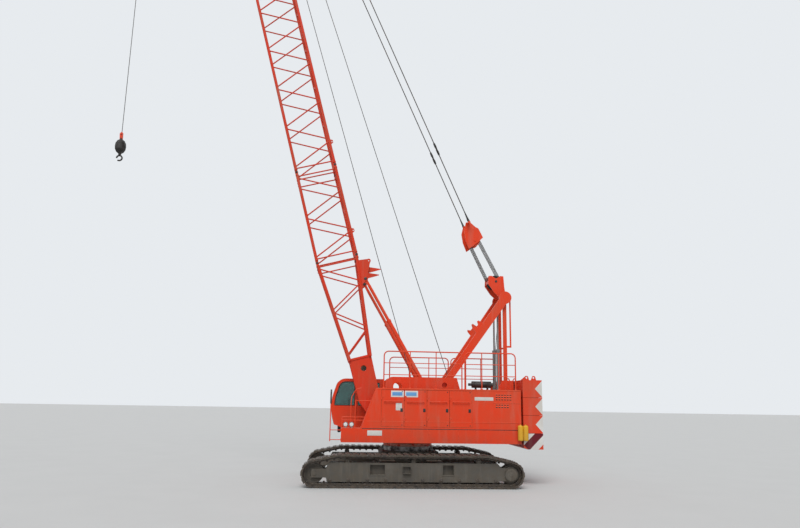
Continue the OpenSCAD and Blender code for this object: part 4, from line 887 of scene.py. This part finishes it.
def makeLenses(look):
    shape, rims, glass = bmesh.new(), bmesh.new(), bmesh.new()
    for lamp in look.lamps:
        addLathe(shape, lamp, (0, 1, 0), *look.lens)
        rim = ringAround(Vector(lamp) - Vector((0, look.rimDepth, 0)), Vector((0, 1, 0)), *look.rim)
        addTube(rims, rim, look.rimThickness, closed=True)
    makePiece("lamp_lenses", shape, "lamp_glass", "upper")
    makePiece("lamp_rims", rims, "black_rubber", "upper")
    x, y, radius = look.mirror
    outline = []
    for k in range(look.mirrorCorners):
        angle = math.tau * k / look.mirrorCorners + look.mirrorTurn
        z = look.mirrorZ[math.sin(angle) > 0]
        outline.append((x, y + radius * math.cos(angle), z + radius * math.sin(angle)))
    addSheet(glass, outline, -look.mirrorThickness)
    makePiece("mirror_glass", glass, "mirror_glass", "upper")


makeParts("front_grab_rail", "red_paint", "upper", deckRail)
makeRailFeet(railFeet)
makeLenses(lenses)
print("Rails, lamps and mirror fitted")


# Cab: window seals, panes, wiper, handles, controls and seat

cab = Values(
    outer=1.70,  # side walls
    inner=0.80,
    nose=(0.995, 2.405, 1.665),  # X, Z and radius of the front's arc
    noseEnd=20,  # degrees over level
    crown=(2.17, 3.04, 0.35), windowCrown=(18, 90), screenCrown=14, rail=0.11, windowRear=1.84,
    sill=2.45, sealRadius=0.012, rearPane=(0.96, 1.72, 2.45, 3.25),
    doorPane=(0.97, 1.65, 2.30, 3.23), paneInset=0.001, paneDepth=0.014, paneHalf=0.003,
    screenSides=(-1.61, -0.89), screenHeights=(1.78, 3.25), screenInset=0.004,
)


def arcPoints(arc, first, last, steps, inset=0.0):
    x, z, radius = arc
    angles = [math.radians(first + (last - first) * k / steps) for k in range(steps + 1)]
    return [(x + (radius - inset) * math.cos(a), z + (radius - inset) * math.sin(a)) for a in angles]


def angleAt(arc, height, inset):
    return math.degrees(math.asin((height - arc[1]) / (arc[2] - inset)))


def sideWindow(look):
    rail, nose, crown, rear = look.rail, look.nose, look.crown, look.windowRear
    start = angleAt(nose, look.sill, rail)
    return ([(rear, look.sill)] + arcPoints(nose, start, look.noseEnd, 8, rail)
            + arcPoints(crown, *look.windowCrown, 8, rail) + [(rear, crown[1] + crown[2] - rail)])


def screenLine(look):
    inset, (bottom, top) = look.screenInset, look.screenHeights
    return (arcPoints(look.nose, angleAt(look.nose, bottom, inset), look.noseEnd, 10, inset)
            + arcPoints(look.crown, look.screenCrown, angleAt(look.crown, top, inset), 4, inset))


def paneCorners(pane):
    x0, x1, z0, z1 = pane
    return [(x0, z0), (x1, z0), (x1, z1), (x0, z1)]


def makeCabSeals(look):
    shape, doorSeal = bmesh.new(), bmesh.new()
    outer, inner = -look.outer, -look.inner
    window, rearPane, doorPane = sideWindow(look), paneCorners(look.rearPane), paneCorners(look.doorPane)
    for seal, y, points in ((shape, outer, window), (shape, inner, window), (shape, inner, rearPane),
                            (doorSeal, outer, doorPane)):
        addTube(seal, [(x, y, z) for x, z in points], look.sealRadius, closed=True)
    line = screenLine(look)
    left, right = look.screenSides
    loop = [(x, left, z) for x, z in line] + [(x, right, z) for x, z in line[::-1]]
    addTube(shape, loop, look.sealRadius, closed=True)
    makePiece("cab_window_seals", shape, "black_rubber", "upper")
    makePiece("cab_door_seal", doorSeal, "black_rubber", "cab_door")
    inset, half = look.paneInset, look.paneHalf
    panes = (("cab_rear_pane", look.rearPane, inner - look.paneDepth, "upper"),
             ("cab_door_pane", look.doorPane, outer + look.paneDepth, "cab_door"))
    for name, (x0, x1, z0, z1), y, body in panes:
        glass = bmesh.new()
        addBlock(glass, (x0 + inset, y - half, z0 + inset), (x1 - inset, y + half, z1 - inset), inset)
        makePiece(name, glass, "cab_glazing", body)


wiper = Values(
    # angle and its step, Y and its step, lift, radius, points
    runs=[(-20, 3.2, -1.22, -0.012, 0.006, 0.006, 7), (-9, 2.6, -1.29, 0, 0, 0.008, 9)],
    pivot=(-21, -1.22), pivotForm=([(0.030, -0.01), (0.030, 0.012), (0.018, 0.020)], 18),
)


def onNose(nose, degrees, y, lift):
    angle = math.radians(degrees)
    outward = Vector((math.cos(angle), 0, math.sin(angle)))
    return Vector((nose[0], y, nose[1])) + outward * (nose[2] + lift), outward


def makeWiper(look, nose):
    shape = bmesh.new()
    for start, step, y, sideways, lift, radius, count in look.runs:
        points = [onNose(nose, start + k * step, y + sideways * k, lift)[0] for k in range(count)]
        addTube(shape, points, radius)
    place, outward = onNose(nose, *look.pivot, 0)
    addLathe(shape, place, outward, *look.pivotForm)
    makePiece("wiper", shape, "black_rubber", "upper")


grabRail = {"rods": [
    ([(1.80, -0.795, 2.06), (1.80, -0.750, 2.08), (1.80, -0.750, 2.40), (1.80, -0.795, 2.42)], 0.012, 10)]}

doorHandle = {
    "blocks": [((0.905, -1.712, 2.24), (1.015, -1.700, 2.30), 0.004)],
    "rods": [([(0.925, -1.710, 2.26), (0.925, -1.745, 2.26), (1.005, -1.745, 2.26), (1.005, -1.710, 2.26)],
              0.008)],
}

controls = [
    {"ys": (-1.545, -0.955),  # arm consoles with their sticks
     "blocks": [((1.30, -0.045, 1.502), (1.62, 0.045, 2.16), 0.02),
                ((1.16, -0.055, 2.15), (1.66, 0.055, 2.21), 0.02)],
     "rods": [([(1.58, 0, 2.20), (1.60, 0, 2.33)], 0.010)],
     "turned": [((1.60, 0, 2.32), (0.1, 0, 1),
                 [(0.020, 0), (0.028, 0.03), (0.024, 0.09), (0.012, 0.11)], 14)]},
    {"blocks": [((2.30, -1.50, 1.502), (2.42, -1.00, 1.95), 0.03),  # stand, dashboard and display
                ((2.26, -1.46, 1.94), (2.46, -1.04, 2.02), 0.02),
                ((2.02, -0.93, 2.42), (2.06, -0.86, 2.70), 0.008)]},
    {"ys": (-1.40, -1.30, -1.20, -1.10),  # levers
     "rods": [([(2.30, 0, 2.00), (2.22, 0, 2.22)], 0.007)],
     "turned": [((2.22, 0, 2.215), (-0.34, 0, 0.94),
                 [(0.008, 0), (0.020, 0.012), (0.020, 0.028), (0.008, 0.040)], 12)]},
    {"ys": (-1.36, -1.14),  # pedals
     "blocks": [((2.04, -0.06, 1.502), (2.20, 0.06, 1.532), 0.008)],
     "rods": [([(2.12, 0, 1.522), (2.20, 0, 1.86)], 0.010)]},
]

seat = Values(
    pads={
        "cushion": ((1.078, -1.482, 1.966), (1.547, -1.018, 2.058)),
        "back": ((1.016, -1.472, 2.080), (1.105, -1.028, 2.540)),
        "headRest": ((1.024, -1.362, 2.560), (1.100, -1.138, 2.690)),
    },
    cuts=9, squareness=6.0, voxel=0.006, pressure=4.0, quality=4,
    cap=0.012,  # the furthest that the cloth may swell
    frames=20,
    seams=(("cushion", 2), ("back", 0)),  # the axis that each pad's seams sink along
    seamInset=0.11,
    seamFrom=0.02,  # how far outside the pad's middle its sewn face starts
    seamMargin=(0.02, 0, 0.012), channelWidth=0.022, channelDepth=0.006, stitches=24,
    stitchRadius=0.0025, stitchSides=6, rayFrom=0.1, rayReach=0.16,
)


def addCushion(shape, look, low, high):
    low, high = Vector(low), Vector(high)
    power = look.squareness
    pad = bmesh.new()
    bmesh.ops.create_cube(pad, size=2.0)
    bmesh.ops.subdivide_edges(pad, edges=pad.edges, cuts=look.cuts, use_grid_fill=True)
    half, centre = (high - low) / 2, (high + low) / 2
    for vert in pad.verts:
        reach = sum(abs(c) ** power for c in vert.co) ** (1 / power)
        point = vert.co / reach
        vert.co = Vector([point[k] * half[k] + centre[k] for k in range(3)])
    holder = bpy.data.meshes.new("pad")
    pad.to_mesh(holder)
    pad.free()
    shape.from_mesh(holder)
    bpy.data.meshes.remove(holder)


def bakedMesh(piece):
    made = bpy.data.meshes.new_from_object(piece.evaluated_get(bpy.context.evaluated_depsgraph_get()))
    piece.modifiers.clear()
    return made


def inflate(piece, look):
    # Remesh to even cells, swell as cloth under pressure, then keep each point near where it started
    remesh = piece.modifiers.new("evenCells", "REMESH")
    remesh.mode = "VOXEL"
    remesh.voxel_size = look.voxel
    piece.data = bakedMesh(piece)
    starts = [vert.co.copy() for vert in piece.data.vertices]
    cloth = piece.modifiers.new("swelling", "CLOTH").settings
    cloth.use_pressure = True
    cloth.uniform_pressure_force = look.pressure
    cloth.effector_weights.gravity = 0
    cloth.quality = look.quality
    for step in range(1, look.frames + 1):
        bpy.context.scene.frame_set(step)
    piece.data = bakedMesh(piece)
    for vert, start in zip(piece.data.vertices, starts):
        move = vert.co - start
        if move.length > look.cap:
            vert.co = start + move * (look.cap / move.length)
    bpy.context.scene.frame_set(1)


def findSeams(look):
    # Each sewn line: its side (Y), the axis that it sinks along and the box that it lies in
    seams = []
    for name, axis in look.seams:
        low, high = (Vector(corner) for corner in look.pads[name])
        low[axis] = (low[axis] + high[axis]) / 2 + look.seamFrom
        for y in (low.y + look.seamInset, high.y - look.seamInset):
            seams.append((y, axis, low, high + Vector(look.seamMargin)))
    return seams


def pressChannels(mesh, look, seams):
    for vert in mesh.vertices:
        for y, axis, low, high in seams:
            off = abs(vert.co.y - y) / look.channelWidth
            if off < 1 and all(low[k] <= vert.co[k] <= high[k] for k in (0, 2)):
                vert.co[axis] -= look.channelDepth * (1 - off * off) ** 2


def makeStitches(mesh, look, seams):
    # Rays towards the cover find where each stitch lies
    surface = BVHTree.FromPolygons([v.co for v in mesh.vertices], [p.vertices for p in mesh.polygons])
    shape = bmesh.new()
    for y, axis, low, high in seams:
        along = 2 - axis
        toward = Vector((0, 0, 0))
        toward[axis] = -1
        points = []
        for k in range(1, look.stitches):
            start = Vector((high.x + look.rayFrom, y, high.z + look.rayFrom))
            start[along] = low[along] + (high[along] - low[along]) * k / look.stitches
            hit = surface.ray_cast(start, toward)[0]
            if hit and start[axis] - hit[axis] < look.rayReach:
                points.append(hit)
        addTube(shape, points, look.stitchRadius, look.stitchSides)
    makePiece("seat_seams", shape, "black_rubber", "upper", "seat_cloth")


def makeSeat(look):
    cloth = bmesh.new()
    for corners in look.pads.values():
        addCushion(cloth, look, *corners)
    pad = makePiece("seat_cushions", cloth, "seat_cloth", "upper")
    inflate(pad, look)
    seams = findSeams(look)
    pressChannels(pad.data, look, seams)
    pad.data.shade_smooth()
    makeStitches(pad.data, look, seams)
    rounding = pad.modifiers.new("rounding", "SUBSURF")
    rounding.levels = rounding.render_levels = 1
    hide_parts("cab_seat")


pedestal = Values(
    blocks=[((1.16, -1.39, 1.497), (1.44, -1.11, 1.547), 0.01),  # foot, seat plate and back bar
            ((1.13, -1.43, 1.910), (1.47, -1.07, 1.955), 0.008),
            ((1.035, -1.30, 1.925), (1.075, -1.20, 2.60), 0.008)],
    foot=(1.16, -1.39, 1.547), fold=(0.28, 0.28, 0.0736), folds=5, foldInset=0.02, foldBevel=0.012,
)


def makePedestal(look):
    shape = bmesh.new()
    addParts(shape, look, Vector())
    for k in range(look.folds):
        fold = Vector(look.fold)
        low = Vector(look.foot) + Vector((0, 0, k * fold.z))
        inset = Vector((1, 1, 0)) * (look.foldInset if k % 2 else 0.0)
        addBlock(shape, low + inset, low + fold - inset, look.foldBevel)
    makePiece("seat_pedestal", shape, "black_rubber", "upper")


makeCabSeals(cab)
makeWiper(wiper, cab.nose)
makeParts("cab_grab_rail", "red_paint", "upper", grabRail)
makeParts("cab_door_handle", "black_rubber", "cab_door", doorHandle)
makeParts("cab_controls", "black_rubber", "upper", *controls)
makeSeat(seat)
makePedestal(pedestal)
print("Cab fitted")


# Boom: pin heads at the section joints, foot pin keepers, hole covers, pendant sockets

boomPins = Values(
    joints=(5.55, 8.95, 17.95, 26.95),  # along the boom
    chordSide=0.62, chordRear=0.70, earFace=0.052,
    head=([(0.040, 0), (0.040, 0.008), (0.030, 0.014), (0.026, 0.022)], 18),
    ring=(0.034, 0.020, 0.016, 10, 0.0025, 5),  # along, out, radius, points, thickness, sides
    catchPin=(4.64, 0.81),  # along the boom and behind the foot pin
    catchFaces=((0.642, 1), (0.538, -1)),
    catchHead=([(0.052, 0), (0.052, 0.012), (0.040, 0.018), (0.014, 0.018)], 22, (0.018, 0.026, 3, 0.006, 0)),
    footSide=0.650, footRim=([(0.050, 0.020), (0.050, 0.026), (0.030, 0.030)], 24),
    keeperHeights=(-0.105, 0.105),
    keeper=(0.055, 0.014, 0.028, 0.004),  # half length, thickness, half height, bevel
    keeperBolts=(-0.035, 0.035), boltSize=0.009,
)


def makeBoomPins(look):
    shape = bmesh.new()
    ringAlong, ringOut, ringRadius, count, *ringSize = look.ring
    length, thickness, height, bevel = look.keeper
    for side in (-1, 1):
        for along in look.joints:
            for rear in (-1, 1):
                for face in (-1, 1):
                    y = side * look.chordSide + face * look.earFace
                    place = onBoom(along, y, rear * look.chordRear)
                    addLathe(shape, place, (0, face, 0), *look.head)
                    middle = place + Vector((0, face * ringOut, 0)) + boomWay * ringAlong
                    addTube(shape, ringAround(middle, boomRear, ringRadius, count), *ringSize, True)
        for face, way in look.catchFaces:
            place = onBoom(look.catchPin[0], side * face, look.catchPin[1])
            addCover(shape, place, (0, side * way, 0), *look.catchHead)
        foot = footPin + Vector((0, side * look.footSide, 0))
        addLathe(shape, foot, (0, side, 0), *look.footRim)
        for z in look.keeperHeights:
            place = foot + Vector((0, 0, z))
            half, outer = Vector((length, 0, height)), Vector((0, side * thickness, 0))
            addBlock(shape, place - half, place + half + outer, bevel)
            for x in look.keeperBolts:
                addBolt(shape, place + outer + Vector((x, 0, 0)), (0, side, 0), look.boltSize)
    makePiece("boom_pin_heads", shape, "dark_castings", "boom")


holeCovers = Values(
    place=(1.65, 0.552, 0.04),  # along the boom, to the side, behind the foot pin
    form=([(0.094, -0.012), (0.094, 0.0), (0.082, 0.004), (0.064, 0.0), (0.02, -0.002)], 30),
)


def makeHoleCovers(look):
    shape = bmesh.new()
    along, y, rear = look.place
    for side in (-1, 1):
        addLathe(shape, onBoom(along, side * y, rear), (0, side, 0), *look.form)
    makePiece("foot_hole_covers", shape, "rusty_steel", "boom")


sockets = Values(
    low=(5.83, 0.485, 4.95), top=(35.2, 0.485, 0.37),  # the pendants' ends, as above
    firstHeight=11.75, pitch=9.0, count=3,
    body=([(0.019, -0.26), (0.036, -0.23), (0.042, -0.09), (0.030, -0.05), (0.030, 0.05), (0.042, 0.09),
           (0.036, 0.23), (0.019, 0.26)], 14),
    pinAt=0.03, pin=([(0.016, 0.02), (0.030, 0.032), (0.030, 0.045), (0.014, 0.052)], 12),
    endsAt=(0.046, 0.10),  # from the low and from the top end
    end=([(0.045, 0), (0.045, 0.05), (0.036, 0.10), (0.020, 0.34)], 14),
)


def makeSockets(look):
    shape = bmesh.new()
    for side in (-1, 1):
        low, top = (onBoom(along, side * y, rear) for along, y, rear in (look.low, look.top))
        way = (top - low).normalized()
        first = (look.firstHeight - low.z) / way.z
        for k in range(look.count):
            centre = low + way * (first + k * look.pitch)
            addLathe(shape, centre, way, *look.body)
            for turn in (-1, 1):
                addLathe(shape, centre + way * turn * look.pinAt, (0, turn, 0), *look.pin)
        addLathe(shape, low + way * look.endsAt[0], way, *look.end)
        addLathe(shape, top - way * look.endsAt[1], -way, *look.end)
    makePiece("pendant_sockets", shape, "dark_castings", "boom")


makeBoomPins(boomPins)
makeHoleCovers(holeCovers)
makeSockets(sockets)
print("Boom fittings made")


# Hook: painted wedge socket, seam bolts and latch, measured from the ball's centre

hook = Values(
    ball=(0.2825, 0, 11.5),  # X from the head's axle, and Z
    wedge=[(-0.047, 0.268), (0.047, 0.268), (0.062, 0.480), (0.022, 0.541), (-0.022, 0.541), (-0.042, 0.522)],
    half=0.037, boltHeights=(0.31, 0.45), bolt=([(0.018, 0), (0.018, 0.010), (0.010, 0.014)], 14),
    seam=(0.1885, 40, 0.004, 6),  # radius, points, thickness, sides
    latch={"rods": [([(0.035, 0, -0.335), (0.075, 0, -0.39), (0.088, 0, -0.42)], 0.008)]},
)


def makeHookFittings(look):
    ball = Vector(look.ball) + Vector((headPin.x, 0, 0))
    half = look.half
    red, dark = bmesh.new(), bmesh.new()
    addSheet(red, [ball + Vector((x, -half, z)) for x, z in look.wedge], -2 * half)
    makePiece("wedge_socket", red, "red_paint", "hook", "boom_paint")
    for z in look.boltHeights:
        for face in (-1, 1):
            addLathe(dark, ball + Vector((0, face * half, z)), (0, face, 0), *look.bolt)
    radius, count, *size = look.seam
    addTube(dark, ringAround(ball, Vector((0, 0, 1)), radius, count), *size, True)
    addParts(dark, look.latch, ball)
    makePiece("hook_fittings", dark, "dark_castings", "hook")


makeHookFittings(hook)
print("Hook fitted")


# Camera, light and floor

cameraPlace = Values(
    place=(2.189, 23.648, 2.623),
    turn=-4.441,  # degrees from straight across the machine
    pitch=11.578, roll=0.908, focalPixels=669.1, photoWidth=800, sensor=36.0, clipEnd=600,
)


def makeCamera(place):
    camera = bpy.data.cameras.new("camera")
    camera.sensor_width = place.sensor
    camera.lens = place.focalPixels * place.sensor / place.photoWidth
    camera.clip_end = place.clipEnd
    holder = bpy.data.objects.new("camera", camera)
    bpy.context.collection.objects.link(holder)
    turn = Matrix.Rotation(math.radians(180 + place.turn), 4, "Z")
    pitch = Matrix.Rotation(math.radians(90 + place.pitch), 4, "X")
    roll = Matrix.Rotation(math.radians(place.roll), 4, "Z")
    holder.matrix_world = Matrix.Translation(place.place) @ turn @ pitch @ roll
    bpy.context.scene.camera = holder


studio = Values(
    skyLight=0.56, skyColour=(0.93, 0.96, 1.0), backdrop=(0.80, 0.83, 0.86), sunStrength=1.9,
    sunAngle=32, sunTilt=(38, 8, 158), floor=(0.56, 0.56, 0.55), floorShade=0.97,
    floorNoise=(0.6, 0.3, 0.7), floorRough=0.85, floorSize=400.0,
)


def makeStudio(look):
    # The backdrop is what the camera sees, straight, in reflections and through glass; the sky only lights
    world = bpy.data.worlds.new("studio")
    bpy.context.scene.world = world
    world.use_nodes = True
    tree = world.node_tree
    tree.nodes.clear()
    ray = tree.nodes.new("ShaderNodeLightPath").outputs
    seen = largest(largest(ray["Is Camera Ray"], ray["Is Glossy Ray"]), ray["Is Transmission Ray"])
    light = addNode(tree, "ShaderNodeBackground", {"Color": look.skyColour, "Strength": look.skyLight})
    shown = addNode(tree, "ShaderNodeBackground", {"Color": look.backdrop})
    mix = addNode(tree, "ShaderNodeMixShader", {0: seen, 1: light.outputs[0], 2: shown.outputs[0]})
    addNode(tree, "ShaderNodeOutputWorld", {"Surface": mix.outputs[0]})
    sun = bpy.data.lights.new("softSun", "SUN")
    sun.energy = look.sunStrength
    sun.angle = math.radians(look.sunAngle)
    holder = bpy.data.objects.new("softSun", sun)
    holder.rotation_euler = [math.radians(a) for a in look.sunTilt]
    bpy.context.collection.objects.link(holder)
    bpy.context.scene.view_settings.view_transform = "Standard"


def makeFloor(look):
    shape = bmesh.new()
    half = look.floorSize / 2
    corners = ((-half, -half), (half, -half), (half, half), (-half, half))
    shape.faces.new([shape.verts.new((x, y, 0)) for x, y in corners])
    tree, shader = newFinish("pale_floor")
    pale, shade = look.floor, [c * look.floorShade for c in look.floor]
    feed(shader, {"Base Color": mixColour(noiseMask(tree, *look.floorNoise), pale, shade),
                  "Roughness": look.floorRough})
    makeObject("floor", shape, "pale_floor")


makeStudio(studio)
makeCamera(cameraPlace)
makeFloor(studio)
print("Studio set")
